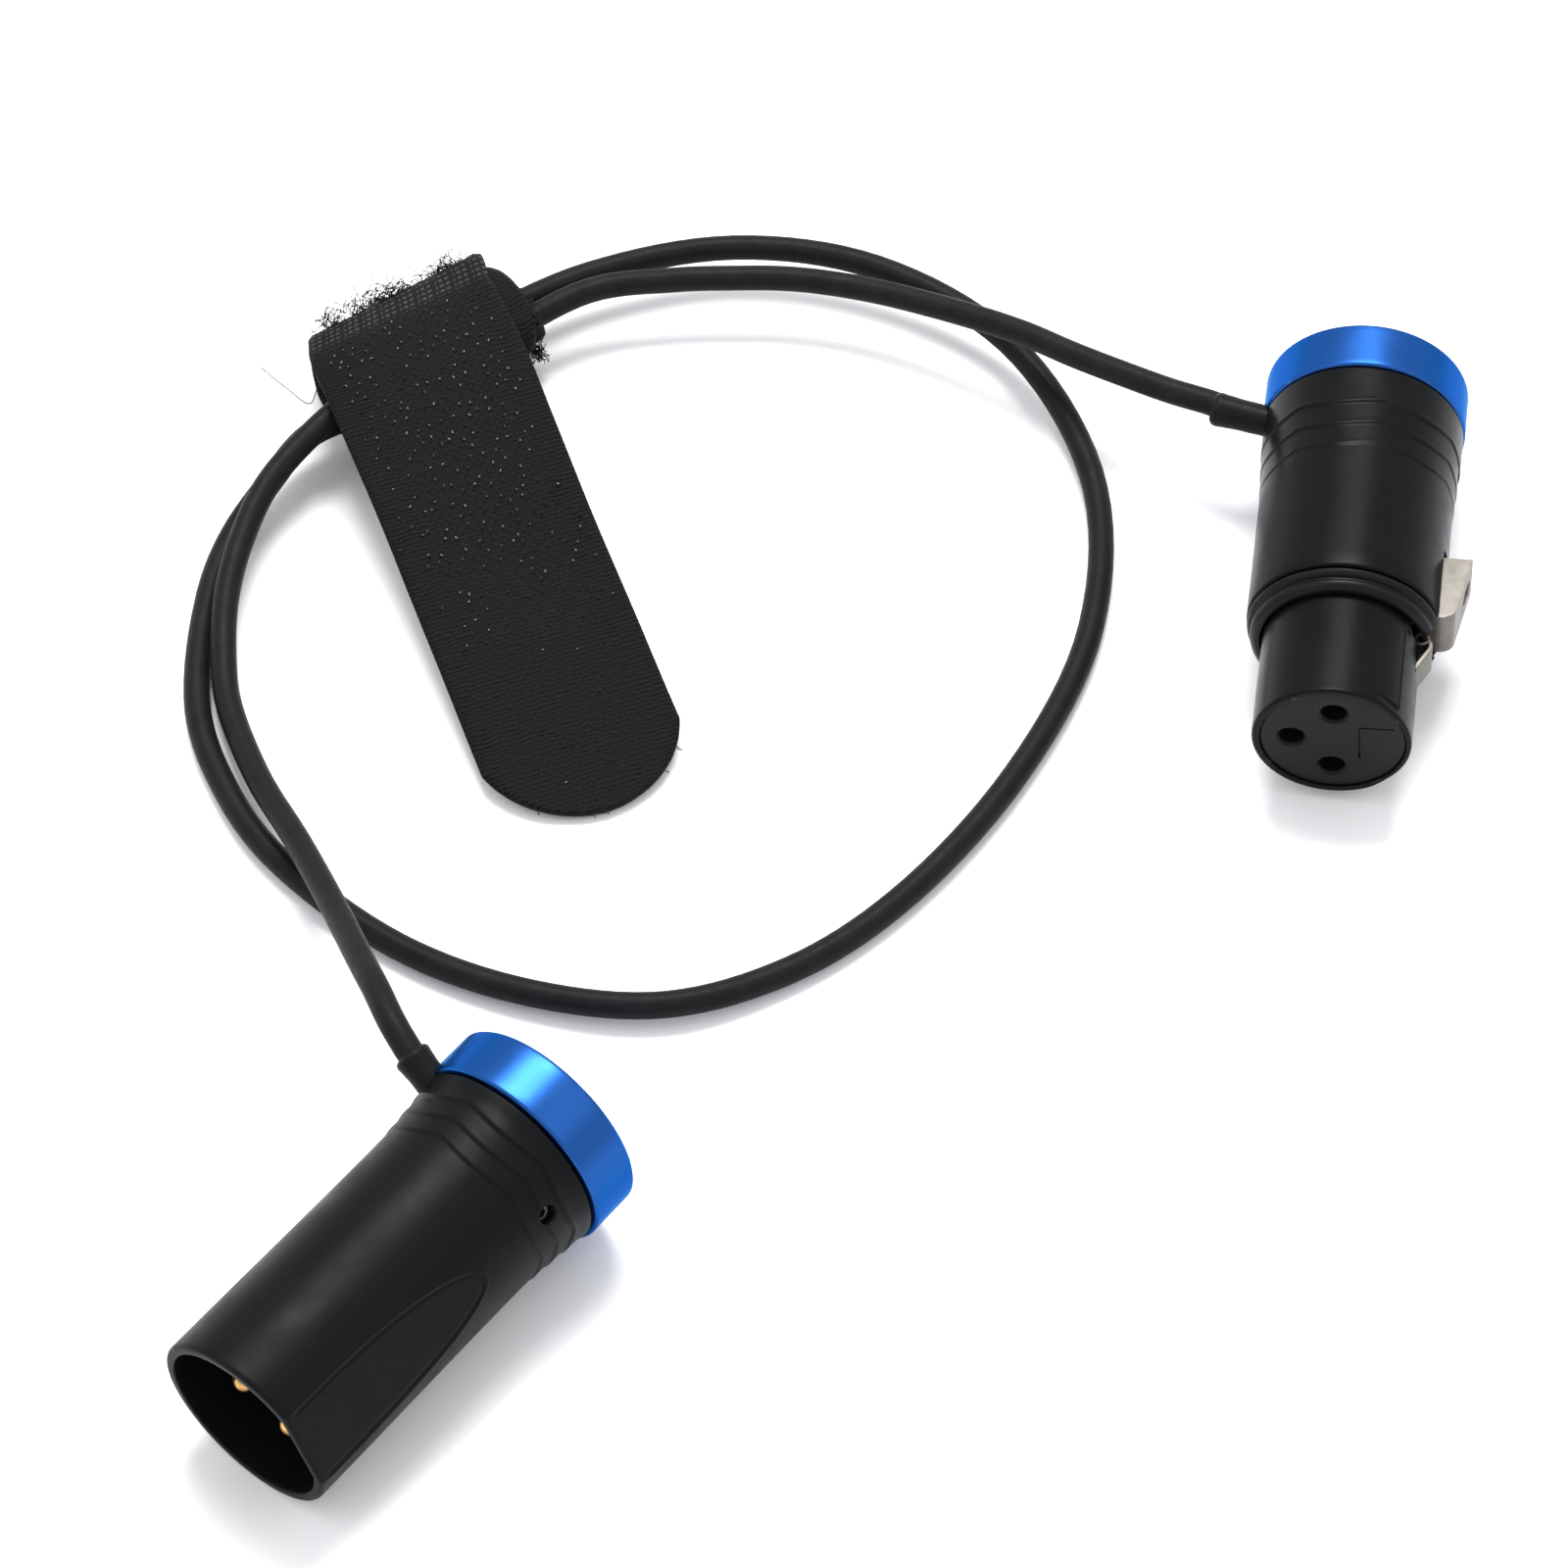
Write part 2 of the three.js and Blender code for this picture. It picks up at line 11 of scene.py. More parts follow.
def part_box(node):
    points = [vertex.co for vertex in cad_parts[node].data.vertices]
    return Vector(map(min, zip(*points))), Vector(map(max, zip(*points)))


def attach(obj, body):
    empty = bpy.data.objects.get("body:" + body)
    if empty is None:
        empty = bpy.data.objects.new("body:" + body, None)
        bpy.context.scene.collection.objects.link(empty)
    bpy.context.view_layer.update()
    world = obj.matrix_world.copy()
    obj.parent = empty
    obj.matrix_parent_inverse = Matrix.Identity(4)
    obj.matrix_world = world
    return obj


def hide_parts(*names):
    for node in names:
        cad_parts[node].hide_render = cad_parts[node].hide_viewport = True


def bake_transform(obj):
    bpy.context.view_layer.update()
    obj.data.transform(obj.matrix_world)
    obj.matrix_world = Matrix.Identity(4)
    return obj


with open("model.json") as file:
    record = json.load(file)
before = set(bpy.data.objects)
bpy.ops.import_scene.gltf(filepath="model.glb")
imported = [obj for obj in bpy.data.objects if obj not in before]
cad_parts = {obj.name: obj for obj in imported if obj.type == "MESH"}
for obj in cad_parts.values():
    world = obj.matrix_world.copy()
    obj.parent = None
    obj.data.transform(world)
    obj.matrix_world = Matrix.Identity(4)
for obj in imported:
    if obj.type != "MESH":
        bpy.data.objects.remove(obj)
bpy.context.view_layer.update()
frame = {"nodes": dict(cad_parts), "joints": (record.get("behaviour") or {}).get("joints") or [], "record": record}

MM = 0.001
UP = Vector((0, 0, 1))


def add_object(name, data):
    thing = bpy.data.objects.new(name, data)
    bpy.context.collection.objects.link(thing)
    return thing


def polar(radius, angle):
    return radius * cos(angle), radius * sin(angle)


def smooth_step(value, low, high):
    t = min(1.0, max(0.0, (value - low) / (high - low)))
    return t * t * (3 - 2 * t)


def hump(value, middle, width):
    return exp(-((value - middle) / width) ** 2)


# ---------------- camera
VIEW_AZIMUTH = 38.84
VIEW_ELEVATION = 51.38
VIEW_DISTANCE = 0.48675
VIEW_TARGET = Vector((0.01126, 0.00766, 0.0))
VIEW_LENS = 111.54


def direction(azimuth, elevation):
    """The way from the object to something seen at that azimuth and elevation, in degrees."""
    level, height = polar(1, radians(elevation))
    back, right = polar(level, radians(azimuth))
    return Vector((right, -back, height))


def make_camera():
    data = bpy.data.cameras.new("camera")
    data.lens = VIEW_LENS
    data.clip_start = 0.01
    camera = add_object("camera", data)
    back = direction(VIEW_AZIMUTH, VIEW_ELEVATION)
    camera.location = VIEW_TARGET + back * VIEW_DISTANCE
    camera.rotation_mode = "QUATERNION"
    camera.rotation_quaternion = (-back).to_track_quat("-Z", "Y")
    bpy.context.scene.camera = camera


make_camera()

# ---------------- the cable's route
CABLE_DIAMETER = 2.7 * MM
CABLE_ROUTE = [
    (0.0199, 0.0683, 0.0108), (0.0150, 0.0671, 0.0106), (0.0095, 0.0663, 0.0102),
    (0.0038, 0.0657, 0.0097), (-0.0033, 0.0653, 0.0090), (-0.0131, 0.0638, 0.0077),
    (-0.0212, 0.0615, 0.0070), (-0.0280, 0.0581, 0.0068), (-0.0336, 0.0539, 0.0067),
    (-0.0379, 0.0501, 0.0067), (-0.0440, 0.0430, 0.0068), (-0.0481, 0.0308, 0.0056),
    (-0.0504, 0.0239, 0.0044), (-0.0528, 0.0171, 0.0039), (-0.0549, 0.0100, 0.0042),
    (-0.0543, 0.0033, 0.0032), (-0.0532, -0.0036, 0.0019), (-0.0498, -0.0109, 0.0015),
    (-0.0402, -0.0229, 0.00145), (-0.0311, -0.0286, 0.00145), (-0.0217, -0.0318, 0.00145),
    (-0.0045, -0.0325, 0.00145), (0.0096, -0.0288, 0.0019), (0.0206, -0.0219, 0.0022),
    (0.0270, -0.0108, 0.0016), (0.0299, 0.0022, 0.00145), (0.0293, 0.0221, 0.00145),
    (0.0236, 0.0425, 0.00145), (0.0110, 0.0594, 0.0018), (-0.0061, 0.0674, 0.0039),
    (-0.0232, 0.0663, 0.0052), (-0.0370, 0.0590, 0.0052), (-0.0467, 0.0460, 0.0052),
    (-0.0511, 0.0314, 0.0058), (-0.0524, 0.0243, 0.0066), (-0.0530, 0.0171, 0.0069),
    (-0.0533, 0.0099, 0.0066), (-0.0527, 0.0018, 0.0057), (-0.0505, -0.0046, 0.0047),
    (-0.0468, -0.0113, 0.0035), (-0.0415, -0.0175, 0.0024), (-0.0378, -0.0208, 0.0022),
    (-0.0286, -0.0264, 0.0032), (-0.0186, -0.0312, 0.0056), (-0.0083, -0.0369, 0.0094),
    (0.0008, -0.0425, 0.0140), (0.0052, -0.0451, 0.0160), (0.0092, -0.0473, 0.0166),
    (0.0124, -0.0484, 0.0157),
]


def smooth_line(points, per_span):
    """A centripetal Catmull-Rom curve through the points, as a list of vectors."""
    knots = [Vector(p) for p in points]
    knots = [knots[0] * 2 - knots[1], *knots, knots[-1] * 2 - knots[-2]]
    line = []
    for p0, p1, p2, p3 in zip(knots, knots[1:], knots[2:], knots[3:]):
        t1 = sqrt((p1 - p0).length)
        t2 = t1 + sqrt((p2 - p1).length)
        t3 = t2 + sqrt((p3 - p2).length)
        for step in range(per_span):
            t = t1 + (t2 - t1) * step / per_span
            a1 = p0.lerp(p1, t / t1)
            a2 = p1.lerp(p2, (t - t1) / (t2 - t1))
            a3 = p2.lerp(p3, (t - t2) / (t3 - t2))
            b1 = a1.lerp(a2, t / t2)
            b2 = a2.lerp(a3, (t - t1) / (t3 - t1))
            line.append(b1.lerp(b2, (t - t1) / (t2 - t1)))
    line.append(knots[-2])
    return line


def line_length(line):
    return sum((b - a).length for a, b in zip(line, line[1:]))


# ---------------- material nodes
class Nodes:
    """A short way to write one material's node tree."""

    def __init__(self, name, slot_colour, roughness, metallic=0.0, specular=0.5):
        self.material = bpy.data.materials.new(name)
        self.material.use_nodes = True
        self.tree = self.material.node_tree
        self.shader = self.tree.nodes["Principled BSDF"]
        self.relief = {}
        self.set(Base_Color=(*slot_colour, 1), Roughness=roughness, Metallic=metallic,
                 Specular_IOR_Level=specular)

    def fill(self, node, settings):
        """Gives a node's inputs a number or another node's output, and its own settings a value."""
        for key, value in settings:
            socket = key if isinstance(key, int) else key.replace("_", " ")
            if isinstance(socket, str) and socket not in node.inputs:
                setattr(node, key, value)
            elif isinstance(value, bpy.types.NodeSocket):
                self.tree.links.new(value, node.inputs[socket])
            else:
                node.inputs[socket].default_value = value

    def add(self, kind, *values, **settings):
        node = self.tree.nodes.new(kind)
        self.fill(node, [*settings.items(), *enumerate(values)])
        return node

    def set(self, **settings):
        self.fill(self.shader, settings.items())

    def place(self, scale=(1, 1, 1)):
        """The point's place in the part's frame, in millimetres, stretched by scale."""
        point = self.add("ShaderNodeTexCoord").outputs["Object"]
        return self.add("ShaderNodeMapping", Vector=point, Scale=[1000 * s for s in scale]).outputs["Vector"]

    def noise(self, vector, scale, detail, roughness=0.5):
        node = self.add("ShaderNodeTexNoise", Vector=vector, Scale=scale, Detail=detail, Roughness=roughness)
        return node.outputs["Fac"]

    def along(self, axis):
        """How far the point lies along an axis, in millimetres."""
        return self.add("ShaderNodeVectorMath", self.place(), axis, operation="DOT_PRODUCT").outputs["Value"]

    def turning(self, axis, scale, detail):
        """The marks that a lathe leaves round an axis."""
        node = self.add("ShaderNodeTexNoise", noise_dimensions="1D", W=self.along(axis), Scale=scale,
                        Detail=detail)
        return node.outputs["Fac"]

    def maths(self, operation, *values):
        return self.add("ShaderNodeMath", *values, operation=operation).outputs[0]

    def plus(self, a, b):
        return self.maths("ADD", a, b)

    def times(self, a, b):
        return self.maths("MULTIPLY", a, b)

    def span(self, value, low, high, to_low, to_high):
        return self.add("ShaderNodeMapRange", value, low, high, to_low, to_high).outputs["Result"]

    def edges(self):
        """1 on outer edges and 0 elsewhere."""
        return self.span(self.add("ShaderNodeNewGeometry").outputs["Pointiness"], 0.52, 0.6, 0, 1)

    def tint(self, factor, low, high):
        """Mixes two colours by a factor into the base colour; the first may be an earlier mix."""
        low = low if isinstance(low, bpy.types.NodeSocket) else (*low, 1)
        mix = self.add("ShaderNodeMix", data_type="RGBA", Factor=factor, A=low, B=(*high, 1))
        self.set(Base_Color=mix.outputs["Result"])
        return mix.outputs["Result"]

    def mottle(self, cloud, colour, low, high, reach=0.2):
        """Varies a colour between two strengths, as a noise goes."""
        share = self.span(cloud, 0.5 - reach, 0.5 + reach, 0, 1)
        self.tint(share, [low * c for c in colour], [high * c for c in colour])

    def rough(self, cloud, low, high):
        """Varies the roughness between two values, as a noise goes."""
        self.set(Roughness=self.span(cloud, 0.3, 0.7, low, high))

    def bump(self, value, distance, strength):
        """Adds one layer of relief; distance is its height in millimetres."""
        node = self.add("ShaderNodeBump", Strength=strength, Distance=distance * MM, Height=value,
                        **self.relief)
        self.relief = {"Normal": node.outputs["Normal"]}
        self.set(**self.relief)


def shell_material(name, axis, face, roughness):
    """Satin black anodised metal: fine blast texture, faint turning marks, worn edges at the face."""
    m = Nodes(name, (0.0035, 0.0042, 0.0047), roughness, specular=0.07)
    place = m.place()
    behind = face.dot(axis) / MM
    rim = m.times(m.edges(), m.span(m.along(axis), behind - 1.1, behind - 0.7, 0, 1))
    wear = m.times(rim, m.span(m.noise(place, 0.5, 5, 0.65), 0.42, 0.66, 0.1, 1.0))
    m.tint(wear, (0.0032, 0.0038, 0.0043), (0.04, 0.04, 0.039))
    m.rough(m.noise(place, 0.25, 4), roughness - 0.05, roughness + 0.07)
    m.bump(m.noise(place, 9.0, 2), 0.006, 0.6)
    m.bump(m.noise(place, 1.1, 3), 0.012, 0.6)
    m.bump(m.turning(axis, 9.0, 3.0), 0.004, 0.5)
    return m.material


def cap_material(name, axis):
    """Blue anodised aluminium with fine turning marks round the cap, and a painted highlight on its edges."""
    blue = (0.017, 0.08, 0.3)
    m = Nodes(name, blue, 0.3, 0.9)
    # Painted highlight: the edges are painted a lighter blue, where light catches the narrow bevels.
    m.tint(m.times(m.edges(), 0.4), blue, (0.06, 0.2, 0.55))
    m.rough(m.noise(m.place(), 0.3, 3), 0.27, 0.33)
    m.bump(m.turning(axis, 14.0, 4.0), 0.005, 0.6)
    m.set(Specular_Tint=(0.12, 0.5, 0.9, 1))
    return m.material


def plastic_material(name, colour, roughness, grain_height=0.008):
    """Moulded plastic: a fine grain and a slow change of gloss."""
    m = Nodes(name, colour, roughness, specular=0.12)
    place = m.place()
    cloud = m.noise(place, 0.4, 3)
    m.mottle(cloud, colour, 0.85, 1.15)
    m.rough(cloud, roughness - 0.06, roughness + 0.06)
    m.bump(m.noise(place, 7.0, 2), grain_height, 0.7)
    return m.material


def metal_material(name, colour, roughness):
    """Plated metal: a cloudy tone, handling marks and faint scratches."""
    m = Nodes(name, colour, roughness, 1.0)
    cloud = m.noise(m.place(), 0.6, 4)
    m.mottle(cloud, colour, 0.68, 1, 0.12)
    m.rough(cloud, roughness - 0.06, roughness + 0.1)
    m.bump(m.noise(m.place((6, 1, 1.5)), 1.2, 3), 0.004, 0.6)
    return m.material


def cable_material(name, colour, roughness):
    """Soft vinyl jacket with a faint mottled skin."""
    m = Nodes(name, colour, roughness, specular=0.085)
    place = m.place()
    cloud = m.noise(place, 0.35, 4)
    m.mottle(cloud, colour, 0.8, 1.2)
    m.rough(m.noise(place, 1.4, 3), roughness, roughness + 0.13)
    m.bump(m.noise(place, 5.0, 3), 0.012, 0.6)
    m.bump(cloud, 0.05, 0.4)
    return m.material


RIB_PITCH = 0.52
BRICK_PITCH = 1.1
STITCH_GROUP = 2.25      # the stitches at the crease stand in groups, with gaps between them
TAPE_UV = "tape"


def tape_material():
    """Woven hook-and-loop tape. The UV map holds millimetres across it, and along it from its crease."""
    m = Nodes("strap_fabric", (0.006, 0.0063, 0.0072), 0.85, specular=0.1)
    place = m.add("ShaderNodeUVMap", uv_map=TAPE_UV).outputs["UV"]
    split = m.add("ShaderNodeSeparateXYZ", Vector=place)
    across, along = split.outputs["X"], split.outputs["Y"]

    def wave(value, pitch):
        return m.maths("SINE", m.times(value, 2 * pi / pitch))

    def size(value):
        return m.maths("ABSOLUTE", value)

    bent = m.plus(along, m.times(m.noise(place, 0.6, 2), 0.7))
    ribs = wave(bent, RIB_PITCH)
    row_shift = m.times(m.maths("FLOOR", m.maths("DIVIDE", bent, RIB_PITCH)), BRICK_PITCH / 2)
    bricks = m.span(wave(m.plus(across, row_shift), BRICK_PITCH), -0.6, 0.6, -0.25, 1)
    ribbed = m.maths("MAXIMUM", m.span(size(across), 5.0, 8.0, 0, 1), m.span(along, -42, -26, 0.5, 0))
    weave = m.times(ribs, m.plus(bricks, m.times(ribbed, m.maths("SUBTRACT", 1, bricks))))
    thread = m.noise(place, 3.4, 3)
    # Painted shade: the weave is painted darker along the crease, where the tape folds over the bundle.
    crease_shade = m.span(size(along), 0.05, 0.3, 0.45, 1)
    light = m.plus(m.span(weave, -1, 1, 0.0, 0.5), m.span(thread, 0.46, 0.66, 0, 0.6))
    cloth = m.tint(m.times(light, crease_shade), (0.0012, 0.0014, 0.0017), (0.0115, 0.012, 0.0135))

    cell = m.maths("FRACT", m.maths("DIVIDE", across, STITCH_GROUP))
    cluster = m.span(size(m.maths("SUBTRACT", cell, 0.5)), 0.36, 0.44, 1, 0)
    stitch = m.times(m.span(wave(across, 0.75), -0.6, 0.0, 0, 1), m.span(wave(along, 1.0), -0.1, 0.4, 0, 1))
    behind = m.times(m.span(along, 0.25, 0.5, 0, 1), m.span(along, 4.2, 4.8, 1, 0))
    shown = m.times(m.times(cluster, stitch), behind)
    m.tint(m.times(shown, m.span(thread, 0.3, 0.6, 0.35, 0.9)), cloth, (0.058, 0.053, 0.05))
    m.rough(thread, 0.7, 0.95)
    m.bump(weave, 0.07, 0.7)
    m.bump(thread, 0.09, 0.6)
    m.set(Sheen_Weight=0.02, Sheen_Roughness=0.4)
    return m.material


# ---------------- mesh tools
def new_piece(name, vertices, faces, material, smooth_angle=35):
    """A mesh object from points in metres, with smooth shading up to an edge angle."""
    mesh = bpy.data.meshes.new(name)
    mesh.from_pydata([tuple(v) for v in vertices], [], faces)
    mesh.validate()
    piece = add_object(name, mesh)
    clean(piece)
    mesh.materials.append(material)
    shade(piece, smooth_angle)
    return piece


def finish_piece(piece, slot, *nodes, body="base"):
    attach(piece, body)
    if nodes:
        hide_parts(*nodes)
    return piece


def clean(piece, distance=1e-7):
    bm = bmesh.new()
    bm.from_mesh(piece.data)
    bmesh.ops.remove_doubles(bm, verts=bm.verts, dist=distance)
    bmesh.ops.dissolve_degenerate(bm, edges=bm.edges, dist=distance)
    bmesh.ops.recalc_face_normals(bm, faces=bm.faces)
    bm.to_mesh(piece.data)
    bm.free()


def shade(piece, angle):
    piece.data.shade_smooth()
    piece.data.set_sharp_from_angle(angle=radians(angle))


def apply_all(piece):
    """Bakes a piece's modifiers into its mesh."""
    graph = bpy.context.evaluated_depsgraph_get()
    made = bpy.data.meshes.new_from_object(piece.evaluated_get(graph))
    piece.modifiers.clear()
    piece.data = made


def cut(piece, others, operation="DIFFERENCE"):
    """Takes the other meshes out of the piece, or welds them to it, one after the other."""
    for other in others:
        modifier = piece.modifiers.new("cut", "BOOLEAN")
        modifier.operation = operation
        modifier.solver = "EXACT"
        modifier.object = other
        bpy.context.view_layer.update()
        apply_all(piece)
        bpy.data.objects.remove(other)


def cut_shell(shell, cutters):
    cut(shell, cutters)
    clean(shell, 1e-5)
    shade(shell, 50)


def soften(piece, width, segments=2):
    """Rounds the edges that the cuts left."""
    clean(piece, 2e-6)
    modifier = piece.modifiers.new("soften", "BEVEL")
    modifier.width = width * MM
    modifier.segments = segments
    modifier.limit_method = "ANGLE"
    modifier.angle_limit = radians(40)
    modifier.use_clamp_overlap = True
    apply_all(piece)
    shade(piece, 40)


def corner_curve(before, here, after, reach, steps):
    """Points on a short curve that cuts a corner off, from reach before it to reach after it."""
    back, ahead = before - here, after - here
    reach = min(reach, back.length * 0.45, ahead.length * 0.45)
    if reach < 1e-6:
        return [here]
    start, end = here + back.normalized() * reach, here + ahead.normalized() * reach
    shares = [k / steps for k in range(steps + 1)]
    return [start * (1 - t) ** 2 + here * (2 * t * (1 - t)) + end * t ** 2 for t in shares]


def rounded(corners, steps):
    """A closed outline through corners of (distance, distance, how far the corner is cut back)."""
    flat = [Vector(c[:2]) for c in corners]
    out = []
    for i, (here, corner) in enumerate(zip(flat, corners)):
        out += corner_curve(flat[i - 1], here, flat[(i + 1) % len(flat)], corner[2], steps)
    return [(p.x, p.y) for p in out]


def subdivided(outline, spacing):
    """The closed outline with extra points, at most spacing(a, r) apart."""
    out = []
    for i, (a, r) in enumerate(outline):
        b, q = outline[(i + 1) % len(outline)]
        parts = max(1, ceil(dist((a, r), (b, q)) / spacing((a + b) / 2, (r + q) / 2)))
        out += [(a + (b - a) * k / parts, r + (q - r) * k / parts) for k in range(parts)]
    return out


def lathe(name, outline, place, material, facets=128, smooth_angle=35, relief=None):
    """A closed outline of (distance behind the face, radius), turned round the connector's axis.

    relief(angle from the key, a, r) gives another radius to each point.
    """
    count = len(outline)
    points, faces = [], []
    for i in range(facets):
        turn = 2 * pi * i / facets
        off_key = min(turn, 2 * pi - turn)
        shift = ((i + 1) % facets - i) * count
        for j, (a, r) in enumerate(outline):
            size = relief(off_key, a, r) if relief else r
            points.append(place @ Vector((*polar(size, turn), -a)))
            here, beside = i * count + j, i * count + (j + 1) % count
            faces.append((here, beside, beside + shift, here + shift))
    return new_piece(name, points, faces, material, smooth_angle)


def ring_faces(count):
    """The side faces between two rings of points, one after the other."""
    return [(i, (i + 1) % count, count + (i + 1) % count, count + i) for i in range(count)]


def prism(name, low_ring, high_ring, material):
    """A solid between two flat rings of points."""
    count = len(low_ring)
    faces = ring_faces(count) + [tuple(range(count)), tuple(range(count, 2 * count))]
    return new_piece(name, low_ring + high_ring, faces, material)


def rod(name, start, end, radius, material, sides, end_radius=None):
    """A straight round rod between two points in metres; its radii are in millimetres."""
    turn = UP.rotation_difference((end - start).normalized())
    rings = [[centre + turn @ Vector((*polar(size * MM, 2 * pi * i / sides), 0)) for i in range(sides)]
             for centre, size in ((start, radius), (end, end_radius or radius))]
    return prism(name, *rings, material)


def tube_mesh(line, radius_at, sides):
    """Points and faces of a round tube along a line; radius_at gives the radius at 0 to 1 of the way."""
    points, faces = [], []
    normal = None
    count = len(line)
    for i, centre in enumerate(line):
        ahead = (line[min(i + 1, count - 1)] - line[max(i - 1, 0)]).normalized()
        if normal is None:
            normal = ahead.orthogonal().normalized()
        normal = (normal - ahead * normal.dot(ahead)).normalized()
        side = ahead.cross(normal)
        radius = radius_at(i / (count - 1))
        for k in range(sides):
            x, y = polar(radius, 2 * pi * k / sides)
            points.append(centre + normal * x + side * y)
    for i in range(count - 1):
        faces += [tuple(i * sides + k for k in face) for face in ring_faces(sides)]
    faces += [tuple(range(sides)), tuple(range((count - 1) * sides, count * sides))]
    return points, faces


# ---------------- connector frames
CAP_RADIUS = 10.45
EXIT_LEAN = 0.15
SLEEVE_HOLE = 1.85
SCREW_HOLE = 0.92
CONTACT_CIRCLE = 4.07
CONTACT_PLACES = [polar(CONTACT_CIRCLE, radians(90 * k)) for k in (1, 2, 3)]
plain = bpy.data.materials.new("plain")


class Connector:
    """One connector: its frame, with the mating face at 0 and the shell back along -Z, and its sizes."""

    def __init__(self, name, mount, depth, key_angle, exit_angle, joint, back, bore, screw_at, shell_gloss):
        face = next(m for m in frame["record"]["mounts"] if m["name"] == mount)
        self.forward = Vector(face["axis"]).normalized()
        across = Vector((-self.forward.y, self.forward.x, 0)).normalized()
        upward = self.forward.cross(across)
        turn = Matrix((across, upward, self.forward)).transposed().to_4x4()
        origin = Vector(face["pos_m"]) + self.forward * depth * MM
        self.place = Matrix.Translation(origin) @ turn @ Matrix.Scale(MM, 4)
        self.key = self.place @ Matrix.Rotation(radians(key_angle), 4, "Z")
        self.name, self.key_angle, self.exit_angle = name, key_angle, exit_angle
        self.joint, self.back, self.bore, self.screw_at = joint, back, bore, screw_at
        self.shell_skin = shell_material("shell_black_" + name, self.forward, origin, shell_gloss)
        self.cap_skin = cap_material("cap_blue_" + name, self.forward)

    def at(self, x, y, a):
        """A point by its distances towards the key, across it, and behind the mating face."""
        return self.key @ Vector((x, y, -a))

    def rod(self, name, start, end, radius, sides=40, end_radius=None, material=plain):
        return rod(name, self.at(*start), self.at(*end), radius, material, sides, end_radius)

    def screw_rod(self, name, low, high, radius, **settings):
        """A rod on the set screw's axis, between two distances from the connector's axis."""
        return self.rod(name, (low, 0, self.screw_at), (high, 0, self.screw_at), radius, **settings)

    def turned(self, name, corners, steps, material, spacing=None, **settings):
        outline = rounded(corners, steps)
        if spacing:
            outline = subdivided(outline, spacing)
        return lathe(name, outline, self.key, material, **settings)

    def around(self, radius, a):
        return self.place @ Vector((*polar(radius, radians(self.exit_angle)), -a))

    def exit_point(self, distance):
        """A point on the cable's way out, at a distance from the shell's surface."""
        along = (self.around(1, EXIT_LEAN) - self.around(0, 0)).normalized()
        return self.around(CAP_RADIUS - 0.15, self.joint) + along * distance * MM

    def exit_hole(self):
        return rod("exit_hole", self.exit_point(-6), self.exit_point(8), SLEEVE_HOLE, plain, 48)

    def screw_holes(self, surface):
        """The set screw's hole and its small countersink."""
        return [self.screw_rod("screw_hole", 6, 12, SCREW_HOLE),
                self.screw_rod("screw_sink", surface - 0.22, surface + 0.3, SCREW_HOLE - 0.02,
                               end_radius=SCREW_HOLE + 0.48)]


female = Connector("female", "female_mating_face", depth=0.25, key_angle=3.3, exit_angle=178, joint=40.7,
                   back=46.5, bore=8.7, screw_at=35.2, shell_gloss=0.3)
male = Connector("male", "male_insert_face", depth=15.0, key_angle=23.5, exit_angle=156, joint=36.0,
                 back=41.6, bore=8.55, screw_at=31.6, shell_gloss=0.4)

cable_skin = cable_material("cable_jacket", (0.0075, 0.008, 0.0088), 0.43)
sleeve_skin = cable_material("sleeve_rubber", (0.0078, 0.0066, 0.0066), 0.36)
black_plastic = plastic_material("insert_plastic", (0.005, 0.0056, 0.0056), 0.42)
black_rubber = plastic_material("ring_rubber", (0.005, 0.0055, 0.006), 0.33, 0.004)
nickel = metal_material("latch_nickel", (0.18, 0.167, 0.149), 0.44)
gold = metal_material("contact_gold", (0.72, 0.44, 0.15), 0.24)
dark_steel = metal_material("screw_steel", (0.13, 0.13, 0.135), 0.38)
wire_skin = plastic_material("wire_insulation", (0.42, 0.42, 0.40), 0.35, 0.004)
tape = tape_material()


# ---------------- cable and sleeves
def make_cable():
    """The jacket along the route, and a little further into each sleeve."""
    line = smooth_line([female.exit_point(3.2), *CABLE_ROUTE, male.exit_point(0.6)], 8)
    curve = bpy.data.curves.new("cable_jacket", "CURVE")
    curve.dimensions = "3D"
    curve.bevel_depth = CABLE_DIAMETER / 2
    curve.bevel_resolution = 6
    curve.use_fill_caps = True
    spline = curve.splines.new("POLY")
    spline.points.add(len(line) - 1)
    for point, place in zip(spline.points, line):
        point.co = (*place, 1)
    spline.use_smooth = True
    curve.materials.append(cable_skin)
    return finish_piece(add_object("cable_jacket", curve), "cable_jacket", "cable"), line


def make_sleeve(connector, outside):
    """Heat-shrunk tube over the cable's end: a rolled lip, then a slightly uneven body."""
    node = connector.name + "_sleeve"
    inner, outer = connector.exit_point(-4.5), connector.exit_point(outside)
    line = [inner.lerp(outer, i / 39) for i in range(40)]

    def radius(t):
        lip = 0.10 * hump(t, 0.93, 0.05)
        end = -0.35 * max(0.0, (t - 0.955) / 0.045) ** 2
        uneven = 0.04 * sin(9 * t) + 0.02 * sin(23 * t + 1)
        return (1.66 + lip + end + uneven) * MM

    piece = new_piece(node + "_shrink", *tube_mesh(line, radius, 32), sleeve_skin)
    return finish_piece(piece, "sleeve_rubber", node)


cable_piece, cable_line = make_cable()
female_sleeve = make_sleeve(female, 5.55)
male_sleeve = make_sleeve(male, 2.85)
line_length(cable_line)

# ---------------- what both connectors have
SECTORS = 7              # sectors of the grip round each shell
SHELL_FACETS = 28 * SECTORS
FINE_FACETS = 360


def grip_rise(off_key, a, steps, sweep):
    """Height added by the grip's steps, whose edges run in shallow scallops, one to a sector."""
    scallop = abs(cos(SECTORS / 2 * off_key))
    total = 0.0
    for at, height in steps:
        edge = at - sweep * scallop
        total += height * smooth_step(a, edge - 0.18, edge + 0.18) + 0.2 * height * hump(a - edge, 0.3, 0.2)
    return total


